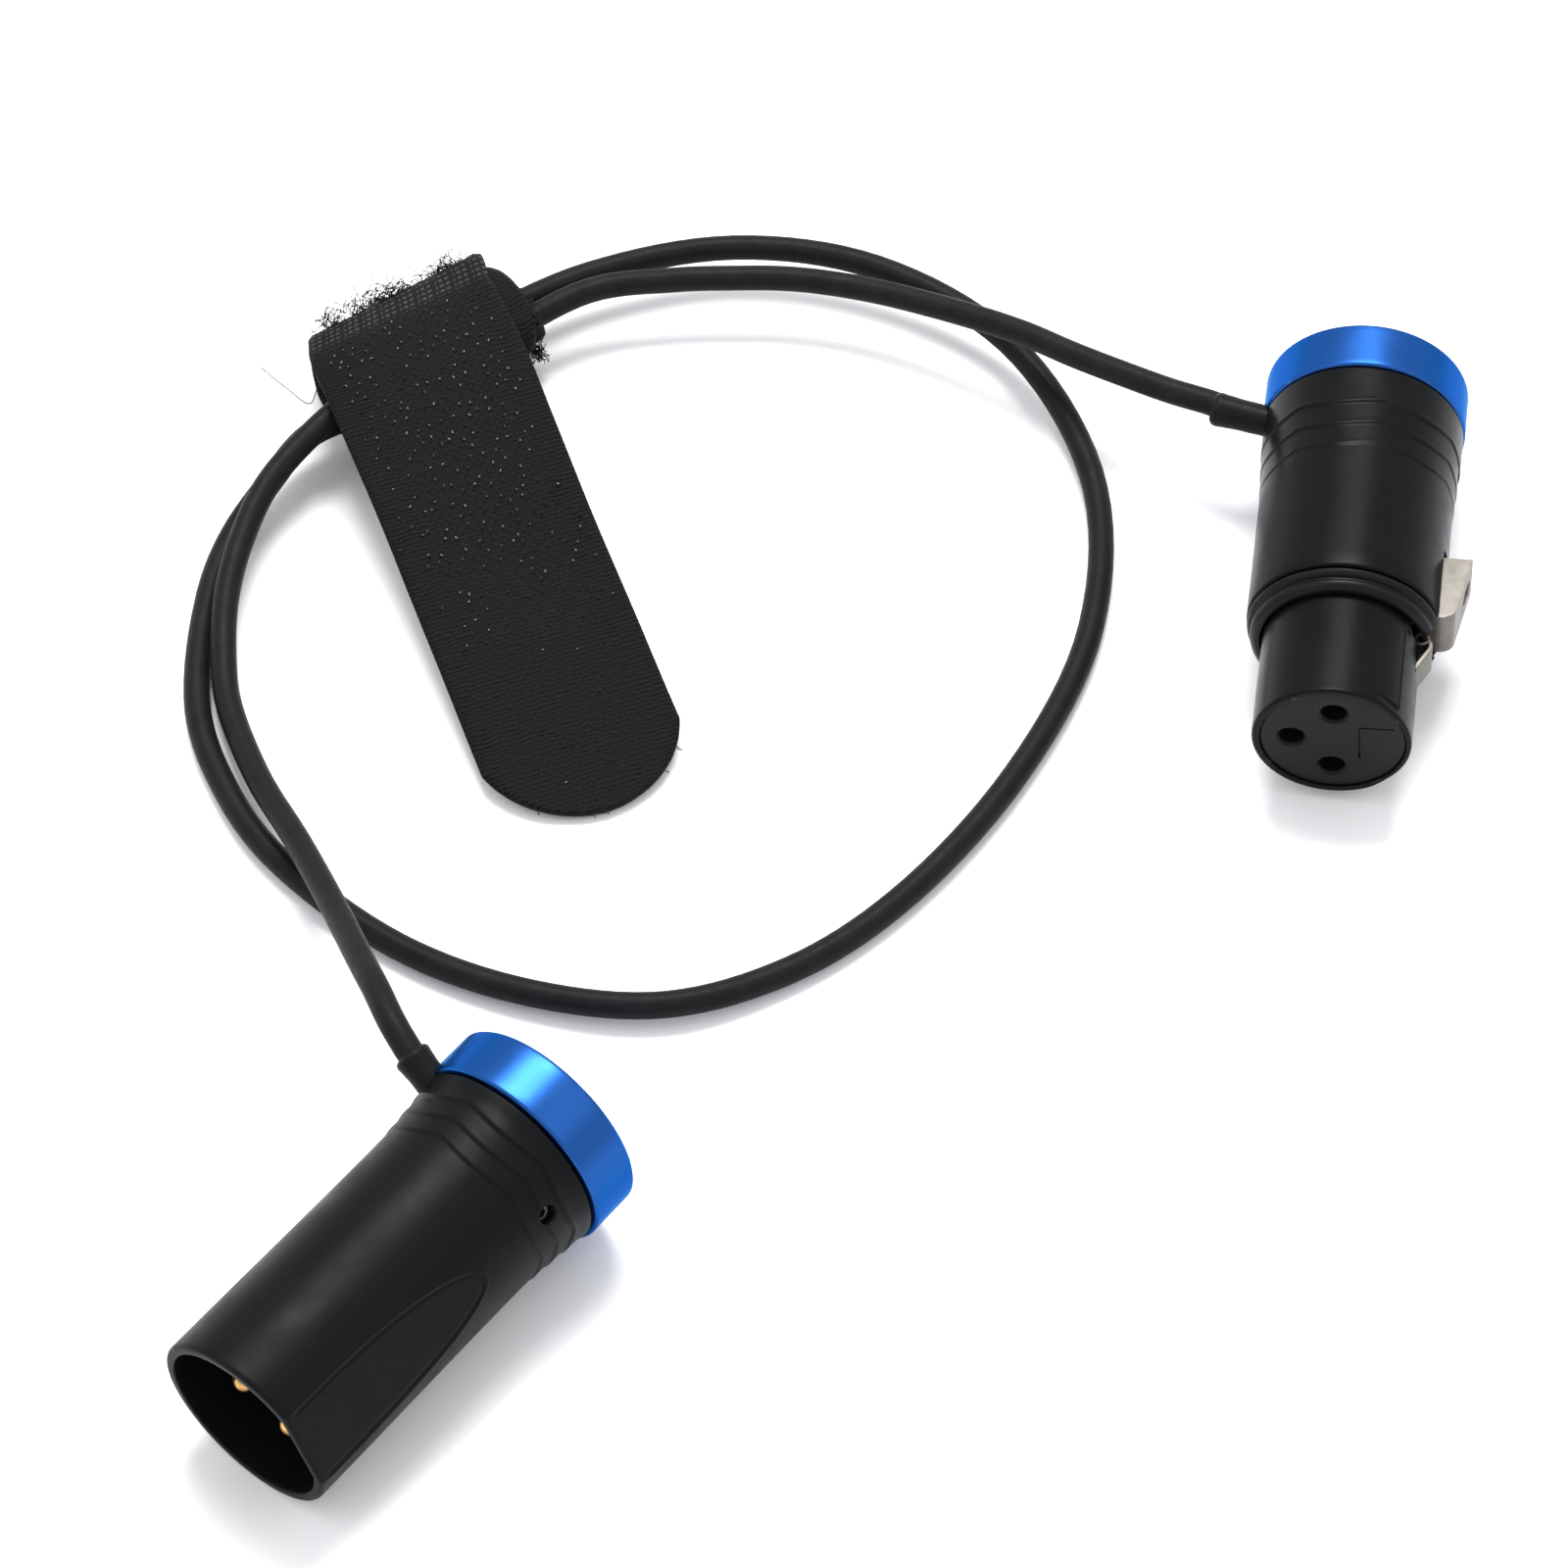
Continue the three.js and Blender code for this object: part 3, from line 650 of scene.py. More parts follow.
def make_cap(connector):
    """The blue end cap: outer ring with narrow bevels, shallow dished end face and an inner skirt."""
    node = connector.name + "_cap"
    front = connector.joint + 0.13
    back = connector.back
    skirt = connector.bore - 0.3
    corners = [
        (front + 1.7, 0, 0), (front + 1.7, skirt - 1.2, 0.2), (front - 6.8, skirt - 1.2, 0.1),
        (front - 6.8, skirt, 0.2), (front, skirt, 0.0), (front, CAP_RADIUS - 0.2, 0.06),
        (front + 0.2, CAP_RADIUS, 0.06), (back - 0.32, CAP_RADIUS, 0.1), (back, CAP_RADIUS - 0.32, 0.1),
        (back, CAP_RADIUS - 1.5, 0.12), (back - 0.18, CAP_RADIUS - 1.75, 0.12), (back - 0.18, 0, 0),
    ]
    cap = connector.turned(node + "_turned", corners, 3, connector.cap_skin, lambda a, r: 0.7,
                           facets=SHELL_FACETS)
    cut(cap, [connector.exit_hole(), connector.screw_rod("screw_hole", 5, 9.2, SCREW_HOLE + 0.04)])
    shade(cap, 30)
    finish_piece(cap, "cap_blue", node)


def make_set_screw(connector, seat):
    """A grub screw with a hexagon socket and a chamfered end."""
    node = connector.name + "_set_screw"
    screw = connector.screw_rod(node + "_grub", 7.3, seat, SCREW_HOLE - 0.01, sides=48, material=dark_steel)
    cut(screw, [connector.screw_rod("socket", seat - 1.1, seat + 0.5, 0.48, sides=6)])
    soften(screw, 0.07)
    finish_piece(screw, "screw_steel", node)


def make_contacts(connector, kind, outline):
    """The three pins or contacts on the contact circle, numbered round from the key."""
    for number, (x, y) in enumerate(CONTACT_PLACES, 1):
        node = f"{connector.name}_{kind}_{number}"
        place = connector.key @ Matrix.Translation((x, y, 0))
        finish_piece(lathe(node + "_turned", outline, place, gold, 40), "contact_gold", node)


# ---------------- female connector
FEMALE_STEPS = [(31.0, 0.06), (33.6, 0.10), (36.4, 0.12)]
SHELL_FRONT = 14.6
NOSE_RADIUS = 8.0
NOSE_BORE = NOSE_RADIUS - 0.8
KEY_LAND = radians(36)
LATCH_HALF = 2.75
TOOTH_HALF = 1.8
LATCH_SHEET = 0.42
LATCH_CLEARANCE = 0.3
EYE_RADIUS = 0.84


def latch_slot(low, front, back, half=LATCH_HALF):
    """Room for the latch, from a distance from the axis outward and between two behind the face."""
    side = half + LATCH_CLEARANCE
    points = [female.at(x, y, a) for x in (low, 14) for y in (-side, side) for a in (back, front)]
    faces = [(0, 1, 3, 2), (4, 6, 7, 5), (0, 4, 5, 1), (2, 3, 7, 6), (0, 2, 6, 4), (1, 5, 7, 3)]
    return new_piece("slot", points, faces, plain)


def eye_rod(name, radius, half_width):
    """A rod across the latch, on the axis of its eye."""
    return female.rod(name, (7.8, -half_width, 12.45), (7.8, half_width, 12.45), radius, material=nickel)


def female_shell_relief(off_key, a, r):
    on_grip = r >= 9.6 and a >= 20
    return r + grip_rise(off_key, a, FEMALE_STEPS, 0.55) if on_grip else r


def make_female_shell():
    corners = [
        (SHELL_FRONT, 8.3, 0), (SHELL_FRONT, 9.8, 0.35), (20, 9.8, 0), (28, 9.83, 0), (38.5, 9.98, 0.5),
        (40.55, 10.02, 0.14), (40.55, female.bore, 0.1), (16.2, female.bore, 0.1), (16.2, 8.3, 0.1),
    ]
    shell = female.turned("female_housing_shell", corners, 4, female.shell_skin,
                          lambda a, r: 0.12 if a > 28 and r > 9 else 2.0, facets=SHELL_FACETS,
                          relief=female_shell_relief)
    cut_shell(shell, [latch_slot(6, 13.6, 23.2), female.exit_hole()] + female.screw_holes(10.1))
    finish_piece(shell, "shell_black", "female_housing")


def nose_relief(off_key, a, r):
    """A low land towards the latch; the skin beside it has a thin lip and a short foot near the rim."""
    if r < 7.0:
        return r
    low = 0.24 if r > 7.5 else 0.0
    beside = smooth_step(off_key, KEY_LAND, KEY_LAND + 0.02)
    foot = smooth_step(a, 0.95, 1.1) + smooth_step(off_key, KEY_LAND + 0.1, KEY_LAND + 0.5)
    ledge = smooth_step(a, 11.4, 11.6) * smooth_step(off_key, KEY_LAND - 0.12, KEY_LAND - 0.10)
    lip = 0.08 * hump(off_key - KEY_LAND, 0.03, 0.02) * smooth_step(a, 0.9, 1.2)
    return r - low + low * max(beside * min(1.0, foot), ledge) + (lip if r > 7.9 else 0.0)


def make_nose():
    corners = [(0, NOSE_BORE, 0.12), (0, NOSE_RADIUS, 0.75), (18, NOSE_RADIUS, 0), (18, NOSE_BORE, 0)]
    nose = female.turned("female_nose_tube", corners, 8, female.shell_skin,
                         lambda a, r: 0.15 if r > 7.9 and a < 13 else 1.5, facets=FINE_FACETS,
                         smooth_angle=50, relief=nose_relief)
    cut_shell(nose, [latch_slot(5, 8.0, 12.6, TOOTH_HALF), latch_slot(5, 11.35, 20),
                     eye_rod("eye_pocket", 1.3, 4.2)])
    finish_piece(nose, "shell_black", "female_nose")


def make_shoulder_ring():
    """Two rolled ridges with a groove between them, flaring towards the shell."""
    corners = [
        (12.15, 8.3, 0), (12.15, 8.75, 0.2), (12.55, 9.2, 0.35), (13.05, 9.32, 0.2), (13.3, 9.02, 0.12),
        (13.55, 9.05, 0.1), (13.75, 9.55, 0.25), (14.2, 9.72, 0.2), (14.35, 9.5, 0.1), (14.35, 8.3, 0),
    ]
    ring = female.turned("female_shoulder_ring_rolled", corners, 5, black_rubber, facets=160)
    cut(ring, [latch_slot(6, 11, 16)])
    finish_piece(ring, "ring_rubber", "female_shoulder_ring")


def make_female_insert():
    """The contact face: three countersunk holes, a fine rim groove and a fine right-angled groove."""
    rim = NOSE_BORE - 0.08
    corners = [(0.22, 0, 0), (0.22, rim, 0.12), (20, rim, 0), (20, 0, 0)]
    insert = female.turned("female_insert_face", corners, 3, black_plastic)
    cuts = []
    bore = [(-1, 0), (-1, 1.6), (0.1, 1.6), (0.5, 1.27), (21, 1.27), (21, 0)]
    for x, y in CONTACT_PLACES:
        place = female.key @ Matrix.Translation((x, y, 0)) @ Matrix.Rotation(0.31, 4, "Z")
        cuts.append(lathe("hole", bore, place, plain, 44))
    turn = Matrix.Rotation(radians(-female.key_angle), 2)
    upper_end, corner, lower_end = Vector((5.74, 2.66)), Vector((2.41, 2.36)), Vector((2.83, -2.29))
    for start, end in ((upper_end, corner), (corner, lower_end)):
        along = (end - start).normalized() * 0.09
        side = Vector((-along.y, along.x))
        outline = [start - along + side, end + along + side, end + along - side, start - along - side]
        rings = [[female.at(*(turn @ p), a) for p in outline] for a in (-0.5, 0.6)]
        cuts.append(prism("groove", *rings, plain))
    cut(insert, cuts + [latch_slot(4.9, 7.9, 21)])
    shade(insert, 30)
    finish_piece(insert, "insert_plastic", "female_insert")


def offset_path(path, distance):
    """The open path of (a, r) points moved sideways, with mitred corners."""
    out = []
    for i, here in enumerate(path):
        before = (here - path[i - 1]).normalized() if i else None
        after = (path[i + 1] - here).normalized() if i + 1 < len(path) else None
        normals = [Vector((-w.y, w.x)) for w in (before, after) if w is not None]
        middle = sum(normals, Vector((0, 0))).normalized()
        out.append(here + middle * (distance / max(0.35, middle.dot(normals[0]))))
    return out


def sheet_strip(name, corners, thickness, half_width, bend):
    """A strip of sheet metal that follows a path in the latch's middle plane, bent at its corners."""
    path = [Vector(c) for c in corners]
    bends = [corner_curve(*three, bend, 6) for three in zip(path, path[1:], path[2:])]
    path = path[:1] + sum(bends, []) + path[-1:]
    outline = offset_path(path, thickness / 2) + offset_path(path, -thickness / 2)[::-1]
    points = [female.at(r, side, a) for side in (-half_width, half_width) for a, r in outline]
    count = len(outline)
    faces = ring_faces(count)
    for start in (0, count):
        for i in range(count // 2 - 1):
            faces.append((start + i, start + i + 1, start + count - 2 - i, start + count - 1 - i))
    return new_piece(name, points, faces, nickel)


def make_latch():
    """Formed sheet: a slanted thumb tab with cheeks and a rolled front, and a tooth plate with an eye."""
    path = [(22.4, 12.04), (15.3, 10.72), (14.75, 9.6), (15.1, 8.0)]
    thumb = sheet_strip("latch_thumb_plate", path, LATCH_SHEET, LATCH_HALF, 1.1)
    outline = rounded([(22.35, 12.0, 0.3), (15.4, 10.7, 0.7), (14.9, 9.6, 0.4), (15.2, 8.0, 0.2),
                       (22.4, 7.9, 0.8)], 5)
    cheeks = []
    for side in (-LATCH_HALF, LATCH_HALF - LATCH_SHEET):
        rings = [[female.at(r, y, a) for a, r in outline] for y in (side, side + LATCH_SHEET)]
        cheeks.append(prism("cheek", *rings, nickel))
    cut(thumb, cheeks, "UNION")
    oval = []
    for a, radius in ((20.0, 1.1), (20.5, -1.1)):
        for k in range(17):
            x, y = polar(radius, radians(-90 + 180 * k / 16))
            oval.append((a - x, y))
    rings = [[female.at(r, y, a) for a, y in oval] for r in (10.4, 14)]
    cut(thumb, [prism("oval", *rings, plain)])
    soften(thumb, 0.09, 3)

    path = [(25.2, 7.2), (22.4, 7.25), (15.2, 7.62), (13.2, 7.75), (12.1, 8.7), (11.5, 8.78), (8.7, 7.35)]
    arm = sheet_strip("latch_tooth_plate", path, 0.44, TOOTH_HALF, 0.5)
    soften(arm, 0.08)

    eye = eye_rod("latch_eye", EYE_RADIUS, TOOTH_HALF + 0.1)
    cut(eye, [eye_rod("eye_hole", 0.5, TOOTH_HALF + 0.5)])
    soften(eye, 0.05)
    for piece in (thumb, arm, eye):
        finish_piece(piece, "latch_nickel", "latch", body="latch_body")


make_female_shell()
make_nose()
make_shoulder_ring()
make_female_insert()
make_cap(female)
make_set_screw(female, 9.5)
make_latch()
make_contacts(female, "contact", rounded([
    (14, 0, 0), (14, 0.72, 0), (2.4, 0.72, 0.1), (2.4, 1.0, 0.1), (2.9, 1.15, 0.2), (25, 1.15, 0.1),
    (25, 0.7, 0.1), (22, 0.7, 0.1), (22, 0, 0)], 3))

# ---------------- male connector
MALE_STEPS = [(29.6, 0.11), (31.6, 0.13), (33.7, 0.17)]
CUP_RADIUS = 8.25
CUP_DEPTH = 14.9
MOUTH_RADIUS = 9.3
MOUTH_WALL = 0.62
INSIDE = 8.6                    # what is nearer to the axis belongs to the cup, not to the outer skin
WAIST_RADIUS = 9.27
WAIST_END = 26
PIN_RADIUS = 1.2
ARCH_HALF = radians(26.6)       # half of the arched recess at the mouth
ARCH_LENGTH = 23.2
ARCH_POWER = 2.7


def male_shell_relief(off_key, a, r):
    """The arched recess is a chord across the shell, with a fine groove and lip round its edge."""
    if a > WAIST_END:
        return r + grip_rise(off_key, a, MALE_STEPS, 0.6)
    edge = ARCH_HALF * sqrt(max(0.0, 1 - (max(0.0, a) / ARCH_LENGTH) ** ARCH_POWER))
    slope = cos(min(off_key, 1.2))
    chord = cos(edge) / slope
    if r < INSIDE:
        return min(r, MOUTH_RADIUS * chord - MOUTH_WALL / slope) if a < CUP_DEPTH else r
    sideways = (edge - off_key) * r
    apex = ARCH_LENGTH * (1 - min(1.0, off_key / ARCH_HALF) ** 2) ** (1 / ARCH_POWER)
    lengthways = apex - a
    if off_key >= ARCH_HALF:
        inside = sideways
    elif a > ARCH_LENGTH or abs(lengthways) < abs(sideways):
        inside = lengthways
    else:
        inside = copysign(sideways, lengthways)
    trim = 0.065 * hump(inside, -0.16, 0.19) - 0.12 * hump(inside, 0.27, 0.18)
    return (min(r, r * chord) if edge > 0 else r) + trim * smooth_step(a, 0.6, 1.5)


def male_spacing(a, r):
    if r < INSIDE:
        return 0.6 if a < 23 else 2.0
    if a < 24:
        return 0.22
    return 0.12 if 27 < a < 35 else 0.5


def make_male_shell():
    corners = [
        (0, CUP_RADIUS + 0.05, 0.2), (0, 9.35, 0.5), (5, 9.35, 0), (20, WAIST_RADIUS, 0),
        (WAIST_END, WAIST_RADIUS, 0), (29, 9.3, 0.3), (34.5, 9.42, 0.5), (35.85, 9.66, 0.14),
        (35.85, male.bore, 0.1), (23, male.bore, 0.1), (23, CUP_RADIUS, 0.1),
    ]
    shell = male.turned("male_housing_shell", corners, 6, male.shell_skin, male_spacing,
                        facets=FINE_FACETS, smooth_angle=50, relief=male_shell_relief)
    cut_shell(shell, [male.exit_hole()] + male.screw_holes(9.66))
    finish_piece(shell, "shell_black", "male_housing")


def make_male_insert():
    """The block that holds the pins, with a low boss round each one."""
    rim = CUP_RADIUS - 0.25
    corners = [(15, 0, 0), (15, rim, 0.2), (22.5, rim, 0.1), (22.5, 0, 0)]
    insert = male.turned("male_insert_block", corners, 3, black_plastic, facets=96)
    for operation, front, back, radius in (("UNION", 14.5, 16, 1.9), ("DIFFERENCE", 12, 30, 1.35)):
        rods = [male.rod("hole", (x, y, front), (x, y, back), radius, 48) for x, y in CONTACT_PLACES]
        cut(insert, rods, operation)
    insert.data.materials.clear()
    insert.data.materials.append(black_plastic)
    shade(insert, 30)
    finish_piece(insert, "insert_plastic", "male_insert")


make_male_shell()
make_male_insert()
make_cap(male)
make_set_screw(male, 8.75)
tip_turns = [radians(90 - 10 * k) for k in range(10)]
round_tip = [(3.0 + PIN_RADIUS - PIN_RADIUS * sin(t), max(0.0, PIN_RADIUS * cos(t))) for t in tip_turns]
make_contacts(male, "pin", round_tip + [(26.4, PIN_RADIUS), (26.5, 1.1), (26.5, 0.75), (24, 0.75), (24, 0)])

# ---------------- CAD nodes that stay as they are
def dress(node, material):
    piece = frame["nodes"][node]
    piece.data.materials.clear()
    piece.data.materials.append(material)


for side_name in ("female", "male"):
    for number in (1, 2, 3):
        dress(f"{side_name}_wire_{number}", wire_skin)
dress("latch_spring", nickel)

# ---------------- strap
STRAP_WIDTH = 21.0
STRAP_THICKNESS = 0.95
TIP_RADIUS = 11.0
TAIL_LENGTH = 53.0
TIP_TOP = 1.35                  # height of the tail's face at its tip
BUNDLE_HEADING = 75.0           # degrees, the way the cables run through the turns
CREASE_HEADING = 71.4           # degrees, the way the crease over the bundle runs
FAR_HEADING = 75.0              # and the way the strap's far edge runs
BUNDLE_TO_MIDDLE = 2.05         # the turns reach further on the side away from the tail
ROW_SPACING = RIB_PITCH / 4
STRAP_COLUMNS = 42
SELVEDGE = 0.35
HOOK_ROWS = 1.3                 # distance between the rows of hooks, and between hooks in a row
HOOK_SPACING = 1.36
HOOK_EDGE = 9.4

# The strap's middle line round the bundle: away from the tail, along the bundle, and up, in millimetres.
# It starts where the tail meets the turns and ends at the strap's inner end.
STRAP_TURNS = [
    (-6.33, -5.2, 8.72), (-4.0, -4.6, 9.02), (-1.5, -3.95, 9.28), (1.3, -3.25, 9.4), (3.5, -2.7, 9.3),
    (4.3, -2.5, 9.1), (6.3, -1.5, 8.48), (8.1, -0.6, 7.78), (9.2, -0.1, 6.75), (9.35, 0.0, 4.6),
    (8.7, -0.2, 2.6), (7.2, -0.7, 1.75), (3.0, -1.4, 1.62), (-1.0, -2.0, 2.1), (-3.2, -2.4, 3.5),
    (-4.2, -2.4, 5.3), (-4.0, -2.0, 7.0), (-2.8, -1.3, 8.0), (-0.5, -0.7, 8.45), (2.2, -0.4, 8.52),
    (4.4, -0.4, 8.2), (6.2, -0.4, 7.3), (7.6, -0.4, 6.2), (8.0, -0.4, 4.6), (7.3, -0.4, 3.2),
    (5.8, -0.4, 2.65), (2.5, -0.4, 2.6), (-0.4, -0.4, 2.75), (-2.6, -0.4, 3.9), (-3.3, -0.4, 5.2),
    (-3.1, -0.4, 6.6),
]
LINE_STEPS = 24
TAIL_STEPS = 10
CREASE = 5                      # the turn's point where the strap is creased over the bundle
FAR_TOP = 8                     # and the one where it starts down the far side
LOW_TILT = 0.1                  # the turns under the bundle rise with the cables, along the bundle


def heading_vector(angle):
    return Vector((*polar(1, radians(angle)), 0))


rng = random.Random(7)
vary = rng.uniform
lift = next(j for j in frame["joints"] if j["name"] == "strap_lift")
hinge = Vector(lift["pos_m"])
across_tail = -Vector(lift["axis"]).normalized()
down_tail = UP.cross(-across_tail)
bundle = heading_vector(BUNDLE_HEADING)
away = Vector((-bundle.y, bundle.x, 0))
loop_low, loop_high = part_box("strap_loop")
bundle_centre = (loop_low + loop_high) / 2 - away * BUNDLE_TO_MIDDLE * MM
bundle_centre.z = 0


def turn_point(point):
    x, y, z = point
    return bundle_centre + (away * x + bundle * y + UP * z) * MM


def strap_middle_line():
    """Evenly spaced rows (place, width direction, distance) from the tip of the tail to the inner end.

    Also gives the distance of each of the turns' points from the tip.
    """
    tip = hinge + down_tail * TAIL_LENGTH * MM
    tip.z = (TIP_TOP - STRAP_THICKNESS / 2) * MM
    joint = turn_point(STRAP_TURNS[0])
    controls = [tip.lerp(joint, t / TAIL_STEPS) for t in range(TAIL_STEPS)]
    controls += [turn_point(p) for p in STRAP_TURNS]
    line = smooth_line(controls, LINE_STEPS)
    at = [LINE_STEPS * (TAIL_STEPS + k) for k in range(len(STRAP_TURNS))]
    tail_heading = degrees(atan2(across_tail.y, across_tail.x))
    headings = [(0, tail_heading), (at[0], tail_heading), (at[CREASE], CREASE_HEADING),
                (at[FAR_TOP], FAR_HEADING), (at[FAR_TOP + 4], BUNDLE_HEADING), (at[-1], BUNDLE_HEADING)]
    distances = [0.0]
    for a, b in zip(line, line[1:]):
        distances.append(distances[-1] + (b - a).length / MM)

    def width_direction(i, place):
        for (start, before), (end, after) in zip(headings, headings[1:]):
            if i <= end:
                heading = before + (after - before) * smooth_step(i, start, end)
                break
        way = heading_vector(heading)
        if i > at[FAR_TOP]:
            way.z = LOW_TILT * (1 - smooth_step(place.z, 3 * MM, 6.5 * MM))
        return way

    rows = []
    index = 0
    for k in range(int(distances[-1] / ROW_SPACING) + 1):
        s = k * ROW_SPACING
        while index < len(line) - 2 and distances[index + 1] < s:
            index += 1
        t = (s - distances[index]) / (distances[index + 1] - distances[index])
        place = line[index].lerp(line[index + 1], t)
        rows.append((place, width_direction(index + t, place), s))
    return rows, [distances[i] for i in at]


strap_rows, turn_distances = strap_middle_line()
joint_distance = turn_distances[0]
crease_distance = turn_distances[CREASE]


def half_width(s):
    """Half the strap's width at a distance from the tip: an arc at the tip, a little wider at the crease."""
    spread = 1 + 0.045 * smooth_step(s, joint_distance - 20, crease_distance)
    if s >= TIP_RADIUS:
        return STRAP_WIDTH / 2 * spread
    arc = sqrt(max(0.0, TIP_RADIUS ** 2 - (TIP_RADIUS - s - 0.02) ** 2))
    return min(STRAP_WIDTH / 2, arc)


def row_frame(i):
    """A row's place, its width direction and its outward normal."""
    place, width, s = strap_rows[i]
    ahead = strap_rows[min(i + 3, len(strap_rows) - 1)][0] - strap_rows[max(i - 3, 0)][0]
    normal = width.cross(ahead.normalized()).normalized()
    return place, width, normal


def on_strap(s, w, height=0.0):
    """A point on the strap's outer face, and the frame there."""
    i = min(len(strap_rows) - 1, max(0, round(s / ROW_SPACING)))
    place, width, normal = row_frame(i)
    return place + width * w * MM + normal * (STRAP_THICKNESS / 2 + height) * MM, width, normal


def make_strap():
    """The whole tape as one closed sheet: an upper and a lower face of rows, joined all round."""
    bm = bmesh.new()
    layer = bm.loops.layers.uv.new(TAPE_UV)
    upper, lower = [], []
    for i, (_, _, s) in enumerate(strap_rows):
        place, width, normal = row_frame(i)
        reach = half_width(s)
        wave = 0.12 * sin(s / 7.3) + 0.08 * sin(s / 3.1 + 1)
        upper.append([])
        lower.append([])
        for k in range(STRAP_COLUMNS + 1):
            w = (2 * k / STRAP_COLUMNS - 1) * reach
            inset = reach - abs(w)
            ribbed = max(smooth_step(abs(w), 5, 8), 0.5 * smooth_step(joint_distance - s, 15, 32))
            rib = 0.035 * sin(2 * pi * s / RIB_PITCH) * smooth_step(inset, SELVEDGE, 0.8) * ribbed
            weave = rib + 0.02 * sin(2 * pi * w / 1.3) * sin(2 * pi * s / 1.25)
            thick = STRAP_THICKNESS / 2 * (0.45 + 0.55 * smooth_step(inset, 0.0, SELVEDGE))
            sag = 0.10 * sin(w / 3.3 + s / 9) * smooth_step(s, 3, 12)
            middle = (sag + wave) * smooth_step(joint_distance - s, 0, 10)
            for rows, offset in ((upper, middle + thick + weave), (lower, middle - thick)):
                rows[-1].append((bm.verts.new(place + width * w * MM + normal * offset * MM), w, s))

    def quad(*corners):
        face = bm.faces.new([vertex for vertex, _, _ in corners])
        face.smooth = True
        for loop, (_, w, s) in zip(face.loops, corners):
            loop[layer].uv = (w, s - crease_distance)

    last = len(strap_rows) - 1
    for i in range(last):
        for k in range(STRAP_COLUMNS):
            quad(upper[i][k], upper[i + 1][k], upper[i + 1][k + 1], upper[i][k + 1])
            quad(lower[i][k + 1], lower[i + 1][k + 1], lower[i + 1][k], lower[i][k])
    for k in (0, STRAP_COLUMNS):
        for i in range(last):
            quad(upper[i][k], upper[i + 1][k], lower[i + 1][k], lower[i][k])
    for i in (0, last):
        for k in range(STRAP_COLUMNS):
            quad(upper[i][k], upper[i][k + 1], lower[i][k + 1], lower[i][k])
    bmesh.ops.recalc_face_normals(bm, faces=bm.faces)
    mesh = bpy.data.meshes.new("strap_tape")
    bm.to_mesh(mesh)
    bm.free()
    mesh.materials.append(tape)
    piece = add_object("strap_tape", mesh)
    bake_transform(piece)
    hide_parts("strap_loop", "strap_tail")
    return piece


def fibres(name, paths, radius, material, sides=4):
    """Many thin round threads of one radius, in millimetres, as one mesh."""
    points, faces = [], []
    for path in paths:
        start = len(points)
        more, quads = tube_mesh(path, lambda t: radius * MM, sides)
        points += more
        faces += [tuple(start + i for i in quad) for quad in quads]
    return new_piece(name, points, faces, material, 60)


def hook_path(s, w):
    """One small bent hook that stands on the strap's outer face."""
    foot, width, normal = on_strap(s, w, -0.05)
    lean = (width * vary(-1, 1) + width.cross(normal) * vary(-1, 1)).normalized()
    tall = vary(0.26, 0.40)
    reach = vary(0.12, 0.22)
    path = [foot]
    for k in range(1, 6):
        turn = pi * k / 5
        rise = tall * (0.55 + 0.45 * sin(turn)) if k > 1 else tall * 0.55
        path.append(foot + (normal * rise + lean * reach * (1 - cos(turn))) * MM)
    return path


def tip_hook(angle):
    """A cut hook that sticks out of the tail's rounded end."""
    turn = radians(angle + vary(-3, 3))
    s = TIP_RADIUS * (1 - cos(turn)) + 0.35
    w = TIP_RADIUS * sin(turn) * 0.97
    foot, width, normal = on_strap(s, w, -0.45)
    out = (down_tail * cos(turn) + across_tail * sin(turn)).normalized()
    size = vary(0.75, 1.15)
    path = []
    for k in range(7):
        t = k / 6
        curve = normal * 0.35 + width * rng.choice((-0.4, 0.4))
        path.append(foot + (out * t + curve * sin(pi * t) * 0.5) * size * MM)
    return path


def make_hooks():
    """Rows of moulded hooks; the bent tops of some of them are pale, a painted glint of light on the bends."""
    plain_hooks, glint_tops = [], []
    s = 4.0
    row = 0
    while s < crease_distance - 0.6:
        share = smooth_step(s, 8, joint_distance - 8)
        w = -HOOK_EDGE + HOOK_SPACING / 2 * (row % 2)
        while w < HOOK_EDGE:
            thin = smooth_step(abs(w), 9.8, 7.4)
            if abs(w) < half_width(s) - 0.8 and rng.random() < (0.12 + 0.75 * share) * (0.3 + 0.7 * thin):
                path = hook_path(s + vary(-0.28, 0.28), w + vary(-0.28, 0.28))
                plain_hooks.append(path)
                # Painted highlight: some hooks get a pale top, which stands in for light glinting on the bent
                # monofilament.
                if rng.random() < 0.1 + 0.5 * share:
                    glint_tops.append(path[2:5] if rng.random() < 0.5 else path[3:5])
            w += HOOK_SPACING
        s += HOOK_ROWS
        row += 1
    plain_hooks += [tip_hook(angle) for angle in (-34, -10, 2, 36, 52)]
    pieces = [fibres("strap_hooks", plain_hooks, 0.06, hook_skin),
              fibres("strap_hook_glints", glint_tops, 0.075, hook_glint_skin, 6)]
    for piece in pieces:
        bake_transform(piece)
    return pieces


def curl(start, out, size, turns):
    """A springy thread that leaves its root and winds round as it goes."""
    side = out.orthogonal().normalized()
    side = Quaternion(out, vary(0, 2 * pi)) @ side
    other = out.cross(side)
    path = []
    for k in range(17):
        t = k / 16
        turn = 2 * pi * turns * t
        radius = size * (0.3 + 0.2 * t)
        path.append(start + (out * size * (t + 0.25 * sin(turn)) + side * radius * (1 - cos(turn))
                             + other * radius * sin(turn) * 0.8) * MM)
    return path


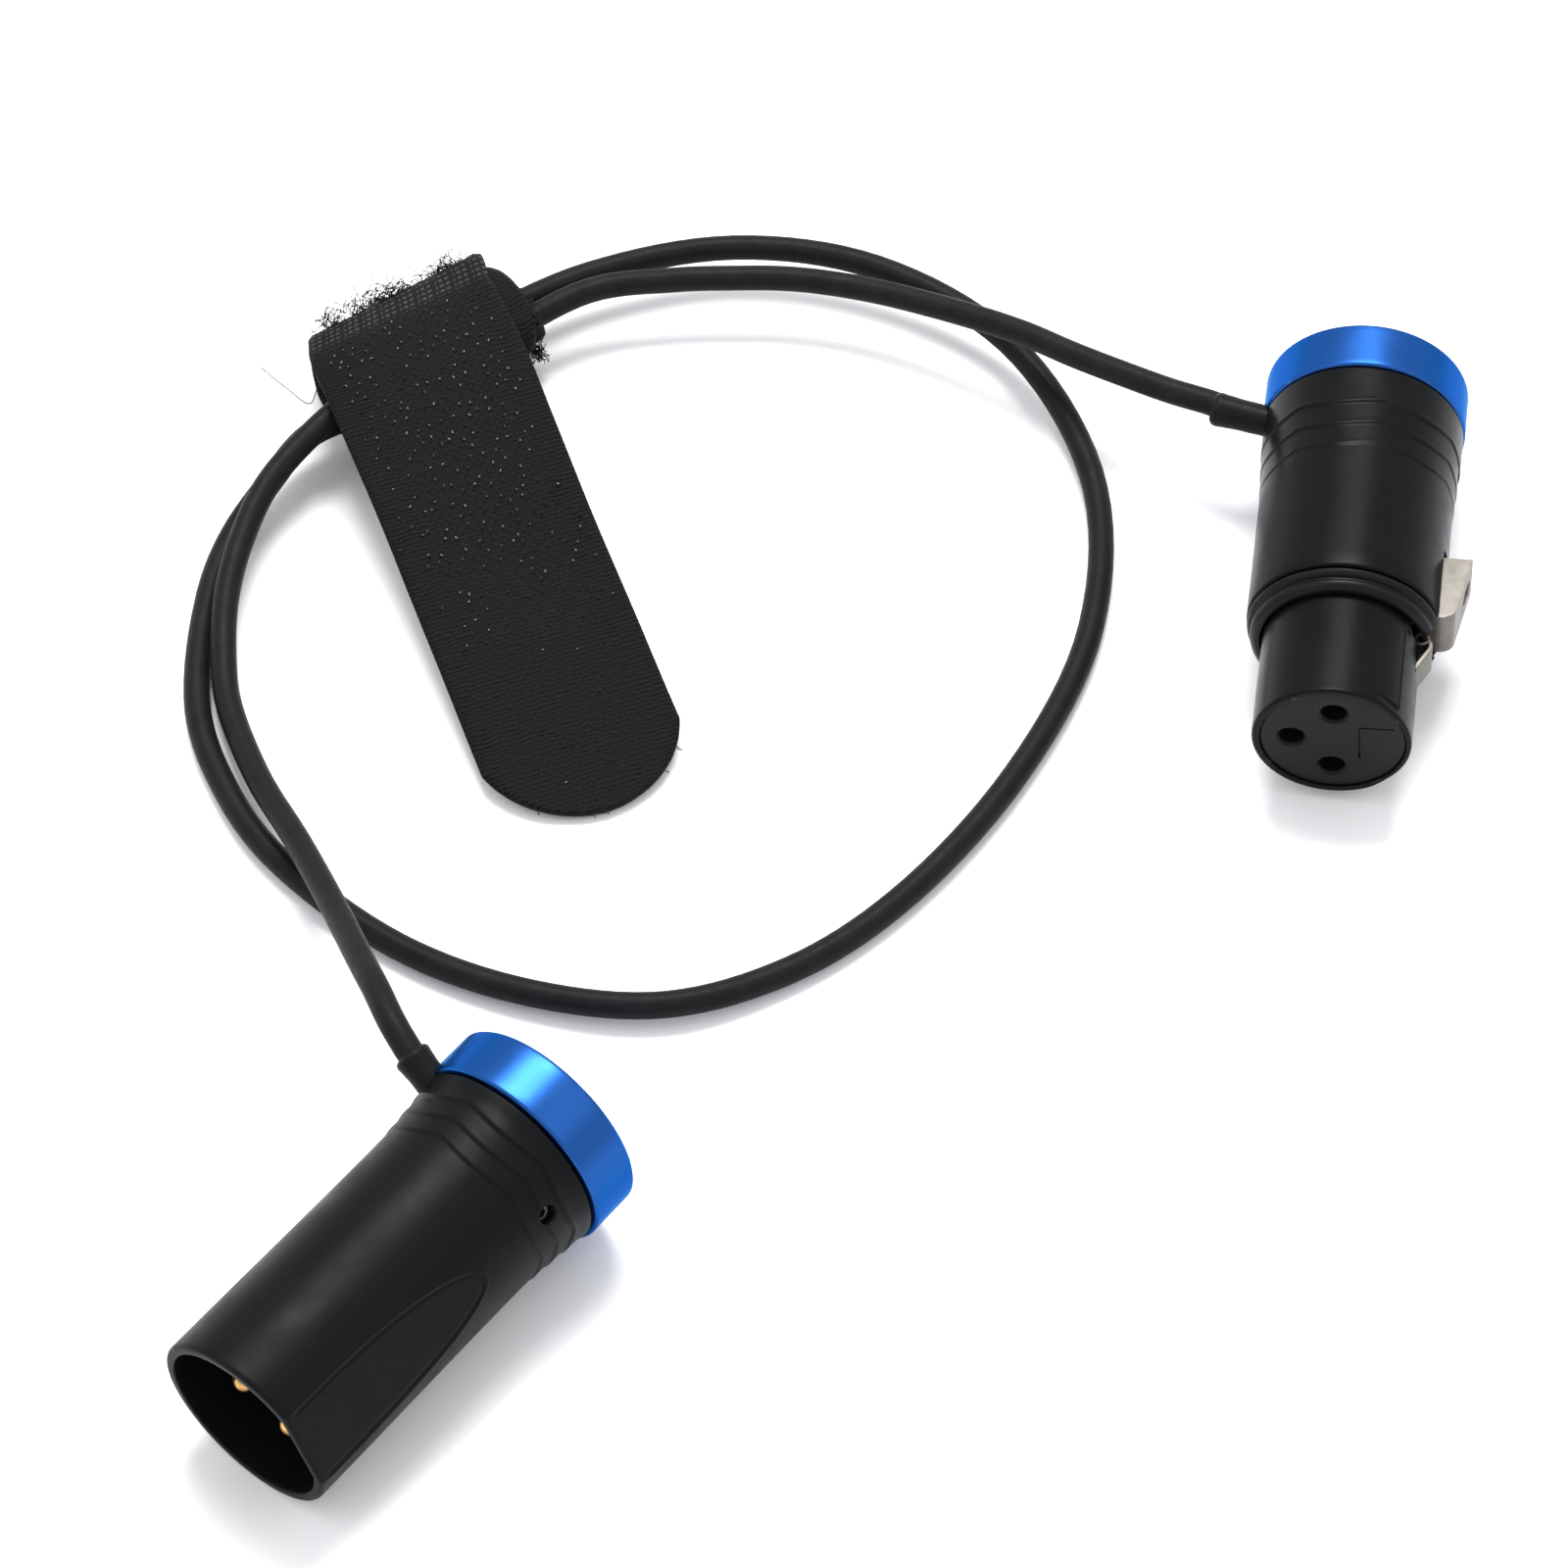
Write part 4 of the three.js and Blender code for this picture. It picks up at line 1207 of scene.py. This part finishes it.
# Clumps of loop pile behind the far edge: place across the strap, spread, reach, number of threads.
PILE_CLUMPS = [
    (-9.9, 0.4, 1.0, 5), (-7.9, 0.8, 1.7, 8), (-6.0, 0.7, 1.6, 9), (-3.9, 0.7, 1.7, 15),
    (-2.4, 0.8, 2.2, 27), (-0.6, 0.8, 2.4, 30), (1.2, 0.8, 2.1, 24), (3.1, 0.7, 1.6, 15),
    (5.2, 0.7, 1.6, 19), (6.9, 0.7, 2.0, 24), (8.5, 0.6, 1.4, 15), (10.0, 0.4, 1.0, 9),
]


def pile_behind_far_edge():
    far = turn_distances[FAR_TOP]
    paths = []
    for middle, spread, reach, number in PILE_CLUMPS:
        for _ in range(number):
            s = far + vary(-0.9, 2.6)
            w = max(-10.6, min(10.6, rng.gauss(middle, spread * 0.6)))
            root, width, normal = on_strap(s, w, -0.1)
            out = (normal + UP * vary(0.2, 1.2) + width * vary(-0.7, 0.7)).normalized()
            size = reach * vary(0.3, 1.0)
            paths.append(curl(root, out, size, vary(0.6, 1.6)))
    return paths


def pile_at(middle, spread, out, reach, number):
    """A tuft round a place among the turns, growing in a direction given the same way."""
    paths = []
    for _ in range(number):
        root = turn_point([m + vary(-s, s) for m, s in zip(middle, spread)])
        x, y, z = (o + vary(-0.7, 0.7) for o in out)
        way = (away * x + bundle * y + UP * z).normalized()
        size = reach * vary(0.45, 1.0)
        paths.append(curl(root, way, size, vary(0.7, 1.4)))
    return paths


def make_pile():
    """The curly loop pile that shows behind the fold and in tufts at the strap's edges."""
    paths = pile_behind_far_edge()
    paths += pile_at((-3.0, 9.1, 3.2), (0.7, 0.5, 0.6), (-0.5, 1.1, -0.1), 1.35, 44)
    paths += pile_at((-1.5, 9.6, 8.0), (2.5, 0.2, 0.3), (-0.2, 0.8, 0.6), 0.7, 20)
    piece = fibres("strap_pile", paths, 0.044, pile_skin)
    finish_piece(piece, "strap_fabric")
    wisps = pile_at((9.3, -8.2, 7.4), (0.3, 1.2, 0.4), (0.5, -0.1, 1.0), 2.3, 14)
    wisps += pile_at((9.3, -4.8, 7.4), (0.3, 0.8, 0.4), (0.5, 0.1, 1.0), 2.5, 8)
    wisps += pile_at((1.0, 9.9, 8.3), (3.0, 0.2, 0.3), (-0.3, 0.9, 0.7), 1.5, 9)
    wisp_piece = fibres("strap_wisps", wisps, 0.042, wisp_skin)
    finish_piece(wisp_piece, "strap_fabric")
    return [piece, wisp_piece]


def make_loose_thread():
    """A thread that has come out of the fold and stands up off the table."""
    points = [(3.8, -10.9, 7.6), (4.8, -12.9, 4.9), (4.2, -14.4, 3.8), (5.7, -16.2, 6.0), (7.4, -18.0, 8.8)]
    path = smooth_line([turn_point(p) for p in points], 8)
    finish_piece(fibres("strap_loose_thread", [path], 0.055, wisp_skin, 5), "strap_fabric")


hook_skin = plastic_material("strap_hooks", (0.02, 0.021, 0.023), 0.3, 0.001)
# The pale colour of the hook tops is a painted glint, not the hooks' own colour.
hook_glint_skin = plastic_material("strap_hook_glints", (0.17, 0.17, 0.18), 0.3, 0.001)
pile_skin = plastic_material("strap_pile", (0.012, 0.0118, 0.0115), 0.7, 0.001)
wisp_skin = plastic_material("strap_wisps", (0.022, 0.02, 0.019), 0.6, 0.001)
strap_piece = make_strap()
hook_pieces = make_hooks()
pile_pieces = make_pile()
make_loose_thread()


# ---------------- floor and light
def make_stage():
    bpy.ops.mesh.primitive_plane_add(size=6, location=(0, 0, 0))
    floor = bpy.context.object
    floor.name = "floor"
    m = Nodes("floor", (0.92, 0.92, 0.925), 0.6)
    m.bump(m.noise(m.place(), 0.5, 2), 0.002, 0.2)
    floor.data.materials.append(m.material)


def softbox(name, azimuth, elevation, distance, size, power):
    """A large soft light, at an azimuth from the camera's own side."""
    data = bpy.data.lights.new(name, "AREA")
    data.shape = "RECTANGLE"
    data.size, data.size_y = size
    data.energy = power
    lamp = add_object(name, data)
    back = direction(VIEW_AZIMUTH + azimuth, elevation)
    lamp.location = VIEW_TARGET + back * distance
    lamp.rotation_mode = "QUATERNION"
    lamp.rotation_quaternion = back.to_track_quat("Z", "Y")


def make_world():
    world = bpy.data.worlds.new("studio")
    bpy.context.scene.world = world
    world.use_nodes = True
    shade_of = world.node_tree.nodes["Background"]
    shade_of.inputs["Color"].default_value = (0.97, 0.98, 1.0, 1)
    shade_of.inputs["Strength"].default_value = 1.05


make_stage()
make_world()
softbox("key_back", 180, 66, 1.2, (0.6, 0.42), 15)
softbox("fill_left", -80, 50, 1.3, (0.7, 0.7), 1.8)
softbox("fill_right", 80, 50, 1.3, (0.7, 0.7), 1.2)
bpy.context.scene.view_settings.view_transform = "Standard"
